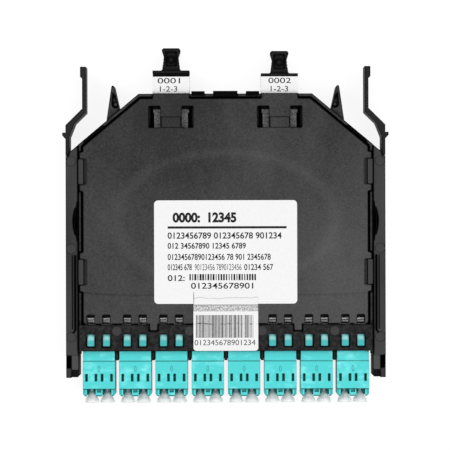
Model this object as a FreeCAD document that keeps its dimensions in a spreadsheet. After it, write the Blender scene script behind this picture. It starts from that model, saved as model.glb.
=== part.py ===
import FreeCAD, Part
import math
import os
import re
import Sketcher

# Fibre cassette: a flat tray that joins two multi-fibre connectors at the rear to a row of eight duplex
# adapters at the front.  X runs across, +Y runs from the duplex ports to the multi-fibre ports, +Z is up.
# The origin is the middle of the tray's underside.  Sketches count y from the tray's front edge, or for the
# sub-parts at the rear from the outside of its rear wall, and place() shifts each one to the origin.

DIMENSIONS = [
    # moulded tray
    ("tray_width", 118.0, "outside of the side walls"),
    ("tray_length", 102.6, "front edge to the outside of the rear wall"),
    ("cover_top", 12.5, "upper face of the cover and of the front strip, above the underside"),
    ("floor_thickness", 1.5, "tray floor"),
    ("wall_thickness", 1.2, "side, slanted and rear walls"),
    ("wall_drop", 0.4, "top of the walls below the cover's face"),
    ("slant_length", 20.3, "slanted corner, front to back"),
    ("slant_angle", 50.1, "turn of the slanted wall away from the side wall, degrees"),
    ("front_lip", 4.2, "how far the floor and the divider ribs stand out under the adapters"),
    ("divider_width", 1.2, "ribs between the adapters"),
    ("divider_gap", 0.175, "between a rib and an adapter"),
    ("row_margin", 1.6, "tray width that the row of adapters leaves"),
    ("strip_depth", 10.2, "roof over the adapters, front to back"),
    ("strip_brim", 0.4, "front edge of that roof beyond the front edge of the walls"),
    ("corner_tab", 1.4, "small tabs at the front corners"),
    ("hook_length", 10.3, "snap hooks over the cover's edge"),
    ("hook_reach", 2.4, "outside of the wall to the hook's nose"),
    ("hook_thickness", 0.75, "head of a snap hook"),
    ("hook_front", 26.1, "front hooks start"),
    ("hook_rear", -36.3, "rear hooks start, from the rear wall"),
    ("tab_length", 2.8, "cover tabs that rest in notches of the wall"),
    ("tab_reach", 1.4, "those tabs beyond the cover's edge"),
    ("mark_radius", 1.95, "ejector marks"),
    ("mark_depth", 0.12, "ejector marks"),
    ("mark_front", 7.6, "middle of the marks on the strip"),
    # side rails, counted outwards from the side wall
    ("rail_reach", 5.0, "outside of a rail"),
    ("rail_drop", 0.6, "top of the rails below the cover's face"),
    ("rail_rear", -23.4, "rails end, from the rear wall"),
    ("rail_front", -2.2, "full-height part of the rails ends"),
    ("rail_nose", -11.1, "front end of the rail's inner nose"),
    ("nose_chamfer", -7.8, "where the inner nose starts to fall"),
    ("nose_tip_drop", 3.8, "front end of the inner nose below the top of the rail"),
    ("nose_ledge_drop", 0.5, "outer half of the nose below the top of the rail"),
    ("nose_well", -7.2, "front side of the well in the outer half"),
    ("nose_wall", 0.4, "wall between that well and the outside"),
    ("nose_split", 2.9, "line between the inner and outer halves of the nose"),
    ("nose_corner", 0.8, "cut corner of the inner nose"),
    ("seam_width", 0.5, "groove between the wall and the rail"),
    ("seam_depth", 5.0, "depth of that groove"),
    ("rail_skin", 1.2, "walls left round the hollows under the rail"),
    ("rail_mark", 2.85, "middle of the marks on the rail"),
    ("rail_mark_front", 5.2, "front mark"),
    ("rail_mark_middle", 40.6, "middle mark"),
    ("rail_mark_rear", -27.0, "rear mark, from the rear wall"),
    ("slit_offset", 1.05, "slit along the rail"),
    ("slit_width", 0.5, "slit along the rail"),
    ("slit_depth", 3.0, "slit along the rail"),
    ("slit_front", 7.8, "slit along the rail"),
    ("slit_rear", 38.1, "slit along the rail"),
    ("groove_offset", 2.3, "shallow groove beside the slit"),
    ("groove_width", 0.25, "shallow groove beside the slit, and its depth"),
    # bowed leaf in the rail
    ("leaf_front", 43.6, "leaf starts"),
    ("leaf_length", 15.9, "leaf end to end"),
    ("leaf_bow", 0.7, "how far the leaf is bowed"),
    ("leaf_thickness", 0.45, "leaf"),
    ("leaf_room", 1.75, "width of the opening round the leaf"),
    ("leaf_depth", 4.0, "depth of that opening"),
    # horns on the slanted walls, counted inwards from the side wall and back from the rear wall
    ("horn_tip_x", 13.9, "tip"),
    ("horn_tip_y", 2.8, "tip"),
    ("horn_tip_radius", 0.6, "rounding of the tip"),
    ("horn_outer_x", 11.2, "outer foot"),
    ("horn_outer_y", -11.6, "outer foot"),
    ("horn_inner_x", 16.7, "inner foot"),
    ("horn_inner_y", -7.0, "inner foot"),
    ("horn_drop", 1.9, "top of the horns below the cover's face"),
    ("horn_boss_x", 15.0, "boss in the horn's recess"),
    ("horn_boss_y", -4.2, "boss in the horn's recess"),
    ("horn_boss_radius", 0.8, "boss in the horn's recess"),
    ("horn_recess_radius", 1.4, "round end of the recess"),
    ("horn_recess_tip", 0.7, "pointed end of the recess"),
    ("horn_recess_depth", 1.5, "recess"),
    # lugs on the rear wall
    ("lug_width", 9.8, "middle lug"),
    ("lug_depth", 1.1, "how far the lugs stand out"),
    ("side_lug_inner", 8.3, "inner side of the two small lugs"),
    ("side_lug_outer", 13.6, "outer side of the two small lugs"),
    # cover
    ("cover_thickness", 1.6, "cover plate and front strip"),
    ("cover_gap", 2.0, "cover edge inside the walls' outside"),
    ("cover_seam", 0.35, "between the cover and the front strip"),
    ("cover_ledge", 0.8, "cover edge under the hooks"),
    ("cover_corner", 0.8, "cover's front corners"),
    ("hook_room", 1.0, "recess in the cover beyond a hook's nose"),
    ("window_side", 3.0, "square windows over the duplex plugs"),
    ("window_front", 11.1, "front side of those windows"),
    ("slot_inner", 4.3, "windows over the multi-fibre plug, inner side from its axis"),
    ("slot_outer", 8.9, "the same, outer side"),
    ("slot_front", -13.6, "the same, front, from the rear wall"),
    ("slot_rear", -5.0, "the same, rear, from the rear wall"),
    ("panel_depth", 0.25, "shallow panel between those windows"),
    ("panel_width", 7.8, "that panel"),
    ("front_tab_x", 28.9, "middle of the two front tabs"),
    ("front_tab_width", 3.2, "front tabs"),
    ("front_tab_reach", 2.4, "front tabs over the strip"),
    ("tongue_rest", 0.5, "strip left under the front tabs"),
    ("play", 0.1, "gap between moulded pieces that only lie side by side"),
    # duplex adapters
    ("adapter_step", 0.12, "rear half is smaller by this on each side"),
    ("adapter_front", -18.7, "front face of the adapters"),
    ("adapter_middle", -4.35, "joint line between the two halves"),
    ("adapter_rear", 10.0, "rear face of the adapters"),
    ("adapter_roof", -15.6, "front edge of the adapter's top wall over the ports"),
    ("adapter_groove", 0.3, "groove along the joint line, width and depth"),
    ("roof_thickness", 1.2, "top wall over the latch channels"),
    ("pillar_drop", 0.7, "pillars beside the ports, below the adapter's top"),
    ("notch_width", 3.5, "opening over each port, between the pillars"),
    ("pillar_recess_width", 1.7, "recess in the middle pillar"),
    ("pillar_recess_length", 1.5, "recess in the middle pillar"),
    ("adapter_chamfer", 0.9, "front outer corners"),
    ("port_pitch", 6.25, "the two ports of one adapter"),
    ("port_side", 4.8, "square port"),
    ("port_height", 3.9, "axis of the ports above the adapter's underside"),
    ("keyway_width", 4.4, "latch channel over the port"),
    ("holder_front", -7.5, "front face of the sleeve holder"),
    ("holder_rear", -0.1, "rear face of the sleeve holder"),
    ("shoulder_offset", 1.9, "latch slots from the port's axis"),
    ("shoulder_width", 1.0, "latch slots"),
    ("shoulder_front", -12.6, "latch slots, front end"),
    ("shoulder_rear", -9.6, "latch slots, rear end"),
    ("catch_width", 2.9, "catches that snap into the strip's windows"),
    ("catch_rise", 1.2, "catches above the adapter"),
    ("catch_front", 1.5, "steep side of a catch"),
    ("catch_crest", 3.9, "top of its ramp"),
    ("catch_rear", 6.0, "foot of its ramp"),
    ("catch_window_side", 3.6, "windows of the strip, across"),
    ("catch_window_front", 1.15, "windows of the strip, front side"),
    ("catch_window_rear", 6.35, "windows of the strip, rear side"),
    ("sleeve_radius", 0.8, "outside of an alignment sleeve"),
    ("sleeve_bore", 0.66, "inside of an alignment sleeve"),
    # duplex dust plugs
    ("plug_stem_radius", 0.6, "stem in the sleeve"),
    ("plug_stem_end", -4.0, "inner end of the stem"),
    ("plug_flare_start", -15.5, "where the stem starts to flare"),
    ("plug_face", -21.4, "outer face"),
    ("plug_rim_radius", 2.9, "rim of the flare"),
    # plugs inside
    ("ferrule_radius", 0.62, "ferrules of the inner plugs"),
    ("ferrule_tip", -3.6, "their tips"),
    ("inner_plug_side", 4.5, "square housing of an inner plug"),
    ("inner_plug_rear", 16.2, "its rear end"),
    ("latch_width", 2.6, "its latch"),
    ("latch_tip", 12.7, "free end of the latch"),
    ("latch_foot", 6.0, "where the latch leaves the housing"),
    ("latch_rise", 2.9, "latch above the housing"),
    ("latch_notch", 0.4, "notch across the latch near its end, width and depth"),
    ("latch_thickness", 0.8, "its latch"),
    ("inner_boot_end", 24.0, "end of its boot"),
    ("inner_boot_side", 3.2, "boot at the housing"),
    ("inner_boot_tip", 2.4, "boot at its end, and its width"),
    # multi-fibre ports, y counted from the rear wall
    ("mpo_spacing", 43.5, "axis to axis"),
    ("mpo_width", 14.6, "adapter"),
    ("mpo_standoff", 1.2, "how much further the left adapter stands out"),
    ("mpo_front", -6.0, "inner end of the adapter"),
    ("mpo_rear", 7.0, "outer end of the adapter"),
    ("mpo_flange", 0.8, "flange inside the rear wall, each side"),
    ("mpo_flange_length", 1.2, "thickness of that flange"),
    ("mpo_port_width", 12.6, "port"),
    ("mpo_port_height", 7.4, "port"),
    ("mpo_web_front", -0.9, "inner side of the web"),
    ("mpo_web_rear", 0.6, "outer side of the web"),
    ("mpo_window_width", 7.0, "opening in the web"),
    ("mpo_window_height", 3.0, "opening in the web"),
    ("mpo_key_width", 3.0, "key slot over the port"),
    ("mpo_key_rise", 0.5, "key slot"),
    ("mpo_plug_width", 12.4, "front part of the inner plug"),
    ("mpo_plug_height", 7.2, "front part of the inner plug"),
    ("mpo_collar_width", 13.5, "sliding collar of the inner plug"),
    ("mpo_rim_width", 14.3, "rims at both ends of the collar"),
    ("mpo_rim_length", 1.3, "those rims"),
    ("mpo_collar_height", 8.6, "sliding collar"),
    ("mpo_collar_front", -15.6, "sliding collar"),
    ("mpo_collar_rear", -6.2, "sliding collar"),
    ("mpo_ferrule_width", 6.4, "ferrule"),
    ("mpo_ferrule_height", 2.5, "ferrule"),
    ("mpo_boot_end", -26.6, "thin end of the boot"),
    ("mpo_boot_width", 9.0, "boot at the collar"),
    ("mpo_boot_height", 6.0, "boot at the collar"),
    ("mpo_boot_tip", 3.4, "boot at its thin end"),
    ("cheek_offset", 8.3, "guide ribs beside the plug, inner side"),
    ("cheek_width", 0.9, "guide ribs"),
    ("cheek_front", -15.1, "guide ribs"),
    ("cheek_rear", -4.0, "guide ribs"),
    ("cheek_drop", 2.1, "top of the guide ribs below the cover's face"),
    # multi-fibre dust caps
    ("cap_core_width", 11.8, "core in the port"),
    ("cap_core_height", 6.8, "core in the port"),
    ("cap_core_length", 5.4, "core in the port"),
    ("cap_skin", 1.2, "walls of the core"),
    ("cap_flange_width", 14.8, "flange"),
    ("cap_flange_height", 9.2, "flange"),
    ("cap_flange_thickness", 1.2, "flange"),
    ("cap_grip_length", 9.1, "grip beyond the flange"),
    ("cap_grip_height", 5.6, "grip, top to bottom"),
    ("cap_grip_end", 7.4, "grip width at its end"),
    ("cap_grip_waist", 5.9, "grip width at its waist"),
    ("cap_grip_base", 7.1, "grip width near the flange"),
    ("cap_waist_at", 5.6, "waist beyond the flange"),
    ("cap_shoulder_at", 7.9, "grip widest again beyond the flange"),
    ("cap_recess_width", 4.4, "recess in the grip"),
    ("cap_recess_front", 1.9, "recess starts beyond the flange"),
    ("cap_recess_rear", 7.7, "recess ends beyond the flange"),
    ("cap_recess_depth", 0.9, "recess in the grip"),
    ("cap_ring_at", 4.6, "ring in the recess, beyond the flange"),
    ("cap_ring_radius", 1.6, "ring, outside"),
    ("cap_ring_bore", 1.1, "ring, inside"),
    ("cap_rib_pitch", 1.1, "notches in the sides of the grip"),
    ("cap_rib_width", 0.45, "notches"),
    ("cap_neck", 0.6, "flare of the grip at the flange"),
    # latch arms, y counted from the rear wall
    ("arm_proud", 0.1, "outer face of an arm beyond the rail"),
    ("arm_thickness", 1.5, "arm"),
    ("arm_base", 1.5, "underside of the arms"),
    ("arm_drop", 1.5, "top of the arms below the cover's face"),
    ("arm_root", -24.2, "axis on which an arm bends"),
    ("arm_seat_play", 0.1, "round the root"),
    ("nub_reach", 1.3, "catch on the arm"),
    ("nub_front", -18.0, "foot of the catch's ramp"),
    ("nub_crest", -16.6, "top of the ramp"),
    ("nub_rear", -15.4, "square side of the catch"),
    ("arm_elbow", -12.4, "outer corner"),
    ("gusset_front", -17.2, "gusset inside the corner"),
    ("gusset_width", 2.2, "gusset"),
    ("arm_jog", 6.7, "outer face of the arm to that of the straight shaft"),
    ("shaft_front", -5.8, "straight shaft starts"),
    ("head_front", 7.0, "thickened head"),
    ("head_rear", 11.0, "end of the arm"),
    ("head_reach", 0.8, "head beyond the shaft"),
    # labels
    ("paper", 0.1, "thickness of the labels"),
    ("label_width", 57.2, "main label"),
    ("label_front", 18.5, "main label"),
    ("label_rear", 59.9, "main label"),
    ("label_radius", 1.6, "main label's corners"),
    ("seal_width", 25.9, "seal label"),
    ("seal_rear", 24.0, "seal label"),
    ("seal_step", 18.0, "where it climbs onto the main label"),
    ("seal_radius", 1.2, "seal label's corners"),
    ("band_thickness", 0.15, "wrap on a multi-fibre adapter"),
    ("band_front", 0.25, "wrap, from the rear wall"),
    ("band_rear", 6.9, "wrap, from the rear wall"),
    ("band_drop", 6.5, "folded sides of the wrap"),
    # fibre leads
    ("lead_side", 0.8, "single fibre lead, across"),
    ("lead_bend", 10.0, "smallest bend of a lead"),
    ("lead_pitch", 1.1, "leads side by side at the fan-out"),
    ("fanout_front", -34.6, "fan-out block, from the rear wall"),
    ("fanout_width", 10.4, "fan-out block"),
    ("fanout_height", 3.4, "fan-out block"),
    ("lead_straight", 2.0, "straight ends of a lead"),
]
ADAPTERS = 8
DERIVED = [
    ("half_width", "tray_width / 2", "middle to the outside of a side wall"),
    ("wall_height", "cover_top - wall_drop", "top of the walls"),
    ("strip_under", "cover_top - cover_thickness", "underside of the cover and of the front strip"),
    ("rail_outer", "half_width + rail_reach", "outside of a rail"),
    ("rail_height", "cover_top - rail_drop", "top of the rails"),
    ("arm_outer", "rail_outer + arm_proud", "outer face of an arm"),
    ("shaft_outer", "arm_outer - arm_jog", "outer face of an arm's straight shaft"),
    ("adapter_pitch", f"(tray_width - row_margin) / {ADAPTERS}", "adapter to adapter"),
    ("adapter_width", "adapter_pitch - divider_width - 2 * divider_gap", "front half of an adapter"),
    ("adapter_height", "strip_under - floor_thickness - play", "front half of an adapter"),
    ("keyway_top", "adapter_height - roof_thickness", "roof of the latch channels"),
    ("mpo_axis", "adapter_height / 2", "axis of the multi-fibre ports above the tray floor"),
    ("seat_radius", "arm_thickness / 2 + arm_seat_play", "round seat of an arm"),
]
PORTS = (-1, 1)
HIDDEN_SIDES = 8  # small round pieces inside the adapters carry this many flats
PLUG_SIDES = 16  # and the moulded dust plugs and ejector marks this many
HOOKS = ("hook_front", "tray_length + hook_rear")

doc = FreeCAD.newDocument("fibre_cassette")
sheet = doc.addObject("Spreadsheet::Sheet", "dims")
driving = [(alias, str(number), meaning) for alias, number, meaning in DIMENSIONS]
driven = [(alias, f"={text}", meaning) for alias, text, meaning in DERIVED]
for row, (alias, content, meaning) in enumerate(driving + driven, start=1):
    sheet.set(f"A{row}", meaning)
    sheet.set(f"B{row}", content)
    sheet.setAlias(f"B{row}", alias)
doc.recompute()

ALIAS = re.compile(r"\b(" + "|".join(alias for alias, _, _ in driving + driven) + r")\b")
FINISHED = []


# ------------------------------------------------------------------------------------------ helpers
def formula(text):
    """An expression on the sheet, from words of the lists above."""
    return ALIAS.sub(r"dims.\1", str(text))


def value(text):
    return float(sheet.evalExpression(formula(text)))


def place(sub_part, x="0", z="0", from_rear=False):
    """Moves a finished sub-part to the origin, from the front edge or the rear wall, and lists it."""
    edge = "tray_length / 2" if from_rear else "-tray_length / 2"
    for axis, text in zip("xyz", (x, edge, z)):
        sub_part.setExpression(f"Placement.Base.{axis}", formula(text))
    FINISHED.append(sub_part)


def rectangle(left, front, right, rear):
    return [(left, front), (right, front), (right, rear), (left, rear)]


def many_sided(x, y, radius, sides=HIDDEN_SIDES):
    """A small round outline as flats that touch the circle from outside."""
    corner = f"({radius}) / cos({180 / sides})"
    turns = [360 / sides * step for step in range(sides)]
    return [(f"{x} + {corner} * cos({turn})", f"{y} + {corner} * sin({turn})") for turn in turns]


def reflected(points):
    return [(f"-({x})", y) for x, y in reversed(points)]


def mirrored(points):
    """The outline and its mirror image across the cassette's middle plane."""
    return [points, reflected(points)]


def hold(sketch, geometry, point, x, y):
    """Ties one point of the sketch to two driven distances."""
    for kind, text in (("DistanceX", x), ("DistanceY", y)):
        rule = sketch.addConstraint(Sketcher.Constraint(kind, -1, 1, geometry, point, value(text)))
        sketch.setExpression(f"Constraints[{rule}]", formula(text))


def draw_outline(sketch, points):
    corners = [FreeCAD.Vector(value(x), value(y), 0) for x, y in points]
    ends = corners[1:] + corners[:1]
    lines = [sketch.addGeometry(Part.LineSegment(a, b), False) for a, b in zip(corners, ends)]
    for line, following in zip(lines, lines[1:] + lines[:1]):
        sketch.addConstraint(Sketcher.Constraint("Coincident", line, 2, following, 1))
    for line, (x, y) in zip(lines, points):
        hold(sketch, line, 1, x, y)


def draw_circle(sketch, x, y, radius):
    centre = FreeCAD.Vector(value(x), value(y), 0)
    circle = sketch.addGeometry(Part.Circle(centre, FreeCAD.Vector(0, 0, 1), value(radius)), False)
    hold(sketch, circle, 3, x, y)
    rule = sketch.addConstraint(Sketcher.Constraint("Radius", circle, value(radius)))
    sketch.setExpression(f"Constraints[{rule}]", formula(radius))


def draw(body, plane, level, outlines, circles=()):
    """A sketch on one of the body's own planes, lifted along the plane's normal by level."""
    sketch = body.newObject("Sketcher::SketchObject", "outline")
    origin_plane = next(item for item in body.Origin.OriginFeatures if item.Role == plane)
    sketch.AttachmentSupport = [(origin_plane, "")]
    sketch.MapMode = "FlatFace"
    sketch.setExpression("AttachmentOffset.Base.z", formula(level))
    for points in outlines:
        draw_outline(sketch, points)
    for x, y, radius in circles:
        draw_circle(sketch, x, y, radius)
    return sketch


def pad(body, sketch, length, against=False):
    feature = body.newObject("PartDesign::Pad", "pad")
    feature.Profile = sketch
    feature.Reversed = against
    feature.setExpression("Length", formula(length))
    return feature


def pocket(body, sketch, length, against=False):
    feature = body.newObject("PartDesign::Pocket", "pocket")
    feature.Profile = sketch
    feature.Reversed = against
    feature.setExpression("Length", formula(length))
    return feature


def faces_of(feature):
    return [(f"Face{i}", face) for i, face in enumerate(feature.Shape.Faces, start=1)]


def dress(body, kind, size_property, size, chosen):
    """A fillet or chamfer on the edges that chosen() picks from the body as it is now."""
    doc.recompute()
    base = body.Tip
    names = [f"Edge{i}" for i, edge in enumerate(base.Shape.Edges, start=1) if chosen(edge)]
    feature = body.newObject(f"PartDesign::{kind}", kind.lower())
    feature.Base = (base, names)
    feature.setExpression(size_property, formula(size))
    return feature


def new_body(label):
    body = doc.addObject("PartDesign::Body", label)
    body.Label = label
    return body


def is_upright(edge):
    box = edge.BoundBox
    return box.ZLength > 0.01 and box.XLength < 1e-6 and box.YLength < 1e-6


def adapter_x(number):
    return f"({number} - {(ADAPTERS + 1) / 2}) * adapter_pitch"


def mpo_x(side):
    return f"{side} * mpo_spacing / 2"


# ------------------------------------------------------------------------------------------ tray
def case_outline(inset):
    """The walls from above, moved inwards by inset, from the right front corner round to the left one."""
    side = f"half_width - ({inset})"
    slant_y = f"tray_length - slant_length - ({inset}) * tan(slant_angle / 2)"
    rear_x = f"half_width - slant_length * tan(slant_angle) - ({inset}) * tan(45 - slant_angle / 2)"
    right = [(side, "0"), (side, slant_y), (rear_x, f"tray_length - ({inset})")]
    return right + reflected(right)


def tray_shell(body):
    lip = "half_width - wall_thickness - 2 * play"
    sill = [(f"-({lip})", "0"), (f"-({lip})", "-front_lip"), (lip, "-front_lip"), (lip, "0")]
    pad(body, draw(body, "XY_Plane", "0", [case_outline("0") + sill]), "floor_thickness")
    walls = case_outline("0") + case_outline("wall_thickness")[::-1]
    pad(body, draw(body, "XY_Plane", "0", [walls]), "wall_height")


def catch_windows():
    windows = []
    for number in range(1, ADAPTERS + 1):
        for side in PORTS:
            middle = f"{adapter_x(number)} + {side} * port_pitch / 2"
            windows.append(rectangle(f"{middle} - catch_window_side / 2", "catch_window_front",
                                     f"{middle} + catch_window_side / 2", "catch_window_rear"))
    return windows


def tray_front_frame(body):
    """Roof strip and divider ribs that hold the row of adapters, and the small tabs at its corners."""
    strip = rectangle("-half_width", "-strip_brim", "half_width", "strip_depth")
    corners = mirrored(rectangle("half_width - wall_thickness", "-corner_tab",
                                 "half_width - 2 * play", "play - strip_brim"))
    for outlines in ([strip], corners):
        pad(body, draw(body, "XY_Plane", "strip_under", outlines), "cover_thickness")
    ribs = []
    for number in range(1, ADAPTERS):
        middle = f"{adapter_x(number)} + adapter_pitch / 2"
        ribs.append(rectangle(f"{middle} - divider_width / 2", "-front_lip",
                              f"{middle} + divider_width / 2", "strip_depth"))
    pad(body, draw(body, "XY_Plane", "0", ribs), "strip_under")
    tongue = "front_tab_x - front_tab_width / 2 - cover_seam"
    notches = mirrored(rectangle(tongue, "strip_depth - front_tab_reach - cover_seam",
                                 f"{tongue} + front_tab_width + 2 * cover_seam", "strip_depth + play"))
    pocket(body, draw(body, "XY_Plane", "cover_top", catch_windows()), "cover_thickness")
    pocket(body, draw(body, "XY_Plane", "cover_top", notches), "cover_thickness - tongue_rest")
    marks = []
    for gap in (1, 3):
        marks += mirrored(many_sided(f"{gap} * adapter_pitch", "mark_front", "mark_radius", PLUG_SIDES))
    pocket(body, draw(body, "XY_Plane", "cover_top", marks), "mark_depth")


def tray_rails(body):
    inner = "half_width - play"
    rear = "tray_length + rail_rear"
    rail = [(inner, "rail_front"), ("rail_outer", "rail_front"), ("rail_outer", rear),
            ("arm_outer - arm_thickness", rear), (inner, "tray_length - slant_length")]
    pad(body, draw(body, "XY_Plane", "0", mirrored(rail)), "rail_height")
    split = "half_width + nose_split"
    nose = rectangle(inner, "nose_chamfer", split, "rail_front")
    pad(body, draw(body, "XY_Plane", "0", mirrored(nose)), "rail_height - play")
    ramp = [("rail_nose", "0"), ("nose_chamfer", "0"), ("nose_chamfer", "rail_height - play"),
            ("rail_nose", "rail_height - nose_tip_drop")]
    for level in (inner, f"-({split})"):
        pad(body, draw(body, "YZ_Plane", level, [ramp]), "nose_split + play")
    outer_half = rectangle(split, "rail_nose", "rail_outer", "rail_front")
    pad(body, draw(body, "XY_Plane", "0", mirrored(outer_half)), "rail_height - nose_ledge_drop")
    well = rectangle(split, "nose_well", "rail_outer - nose_wall", "rail_front")
    pocket(body, draw(body, "XY_Plane", "rail_height - nose_ledge_drop", mirrored(well)),
           "rail_height - nose_ledge_drop - floor_thickness")
    corner = [(f"{inner} - play", "rail_nose - play"), (f"{inner} + nose_corner", "rail_nose - play"),
              (f"{inner} - play", "rail_nose + nose_corner")]
    pocket(body, draw(body, "XY_Plane", "rail_height", mirrored(corner)), "rail_height")
    seam = rectangle("half_width - seam_width / 2", "play", "half_width + seam_width / 2",
                     "tray_length - slant_length - seam_width")
    pocket(body, draw(body, "XY_Plane", "wall_height", mirrored(seam)), "seam_depth")


def tray_rail_hollows(body):
    """Coring under the rails, split by cross ribs."""
    hollows = []
    cells = 4
    front = "rail_front + rail_skin"
    run = f"(tray_length + arm_root - 3 * rail_skin - ({front})) / {cells}"
    for cell in range(cells):
        hollows += mirrored(rectangle("half_width + rail_skin", f"{front} + {cell} * {run}",
                                      "rail_outer - rail_skin", f"{front} + {cell + 1} * {run} - rail_skin"))
    pocket(body, draw(body, "XY_Plane", "0", hollows), "rail_height - seam_depth", against=True)


def tray_rail_face(body):
    """Slit, shallow groove and ejector marks in the top of each rail."""
    slit = "half_width + slit_offset"
    bend = "2 * slit_width"
    slits = [(slit, "slit_rear"), (slit, "slit_front"), (f"{slit} + {bend}", f"slit_front - {bend}"),
             (f"{slit} + 1.5 * {bend}", f"slit_front - {bend}"), (f"{slit} + slit_width", "slit_front"),
             (f"{slit} + slit_width", "slit_rear")]
    pocket(body, draw(body, "XY_Plane", "rail_height", mirrored(slits)), "slit_depth")
    groove = "half_width + groove_offset"
    groove_run = rectangle(groove, "slit_front + slit_width", f"{groove} + groove_width", "slit_rear")
    pocket(body, draw(body, "XY_Plane", "rail_height", mirrored(groove_run)), "groove_width")
    marks = []
    for middle in ("rail_mark_front", "rail_mark_middle", "tray_length + rail_mark_rear"):
        marks += mirrored(many_sided("half_width + rail_mark", middle, "mark_radius", PLUG_SIDES))
    pocket(body, draw(body, "XY_Plane", "rail_height", marks), "mark_depth")


def bowed(face, bow, steps=8):
    """Points along the leaf that stand away from face by a half wave of height bow."""
    shares = [step / steps for step in range(steps + 1)]
    return [(f"{face} + {bow} * sin({180 * share})", f"leaf_front + leaf_length * {share}")
            for share in shares]


def tray_leaf(body):
    """A thin leaf, bowed inside its own opening in the rail."""
    face = "half_width + seam_width"
    opening = bowed(face, "leaf_room")
    pocket(body, draw(body, "XY_Plane", "rail_height", mirrored(opening)), "leaf_depth")
    back = "(half_width + seam_width + leaf_thickness)"
    leaf = [(face, "leaf_front - leaf_thickness")] + bowed(face, "leaf_bow")[1:-1]
    leaf += [(face, "leaf_front + leaf_length + leaf_thickness"),
             (back, "leaf_front + leaf_length + leaf_thickness")] + bowed(back, "leaf_bow")[-2:0:-1]
    leaf += [(back, "leaf_front - leaf_thickness")]
    pad(body, draw(body, "XY_Plane", "rail_height - leaf_depth", mirrored(leaf)), "leaf_depth")


def tray_arm_seats(body):
    """Round seats at the rear of the rails, open to the rear for the arms."""
    axis_x = "(arm_outer - arm_thickness / 2)"
    root = "tray_length + arm_root"
    seats = [(f"{side} * {axis_x}", root, "seat_radius") for side in PORTS]
    pocket(body, draw(body, "XY_Plane", "0", [], seats), "rail_height", against=True)
    rear = "tray_length + rail_rear + play"
    mouth = [(f"{axis_x} - seat_radius", root), ("rail_outer + play", root), ("rail_outer + play", rear),
             (f"{axis_x} - seat_radius - 2 * play", rear)]
    pocket(body, draw(body, "XY_Plane", "0", mirrored(mouth)), "rail_height", against=True)


def tray_hooks_and_notches(body):
    hooks = []
    notches = []
    for start in HOOKS:
        hooks += mirrored(rectangle("half_width - hook_reach", start, "half_width", f"{start} + hook_length"))
        for tab in (f"{start} - tab_length", f"{start} + hook_length"):
            notches += mirrored(rectangle("half_width - wall_thickness - play", tab, "half_width",
                                          f"{tab} + tab_length"))
    pocket(body, draw(body, "XY_Plane", "wall_height", notches), "wall_height - strip_under")
    pad(body, draw(body, "XY_Plane", "cover_top - hook_thickness", hooks), "hook_thickness")


def horn_point(x, y):
    return (f"half_width - ({x})", f"tray_length + ({y})")


def tray_horns(body):
    """Pointed horns on the slanted walls, each with a drop-shaped recess round a small boss."""
    height = "cover_top - horn_drop"
    horn = [horn_point("horn_outer_x", "horn_outer_y"),
            horn_point("horn_tip_x - horn_tip_radius", "horn_tip_y"),
            horn_point("horn_tip_x + horn_tip_radius", "horn_tip_y"),
            horn_point("horn_inner_x", "horn_inner_y")]
    pad(body, draw(body, "XY_Plane", "0", mirrored(horn)), height)
    tips = [(f"{side} * (half_width - horn_tip_x)", "tray_length + horn_tip_y", "horn_tip_radius")
            for side in PORTS]
    pad(body, draw(body, "XY_Plane", "0", [], tips), height)
    boss_x, boss_y = horn_point("horn_boss_x", "horn_boss_y")
    around = many_sided(boss_x, boss_y, "horn_recess_radius")
    recess = [horn_point("horn_tip_x", "horn_recess_tip")] + around[HIDDEN_SIDES // 2:] + around[:1]
    pocket(body, draw(body, "XY_Plane", height, mirrored(recess)), "horn_recess_depth")
    boss = many_sided(boss_x, boss_y, "horn_boss_radius")
    pad(body, draw(body, "XY_Plane", f"{height} - horn_recess_depth", mirrored(boss)), "horn_recess_depth")


def tray_rear_edge(body):
    """Openings for the multi-fibre adapters, guide ribs beside their plugs, and the lugs between them."""
    openings = []
    cheeks = []
    for side in PORTS:
        middle = mpo_x(side)
        half = "mpo_width / 2 + play"
        openings.append(rectangle(f"{middle} - ({half})", "tray_length - 2 * wall_thickness",
                                  f"{middle} + {half}", "tray_length + wall_thickness"))
        for hand in PORTS:
            near = f"{middle} + {hand} * cheek_offset"
            cheeks.append(rectangle(near, "tray_length + cheek_front",
                                    f"{near} + {hand} * cheek_width", "tray_length + cheek_rear"))
    pocket(body, draw(body, "XY_Plane", "wall_height", openings), "wall_height - floor_thickness")
    pad(body, draw(body, "XY_Plane", "0", cheeks), "cover_top - cheek_drop")
    foot = "tray_length - wall_thickness"
    lugs = [rectangle("-lug_width / 2", foot, "lug_width / 2", "tray_length + lug_depth")]
    lugs += mirrored(rectangle("side_lug_inner", foot, "side_lug_outer", "tray_length + lug_depth - play"))
    pad(body, draw(body, "XY_Plane", "0", lugs), "wall_height")


def tray():
    body = new_body("tray")
    tray_shell(body)
    tray_front_frame(body)
    tray_rails(body)
    tray_rail_hollows(body)
    tray_rail_face(body)
    tray_leaf(body)
    tray_arm_seats(body)
    tray_hooks_and_notches(body)
    tray_horns(body)
    tray_rear_edge(body)
    place(body)


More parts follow.
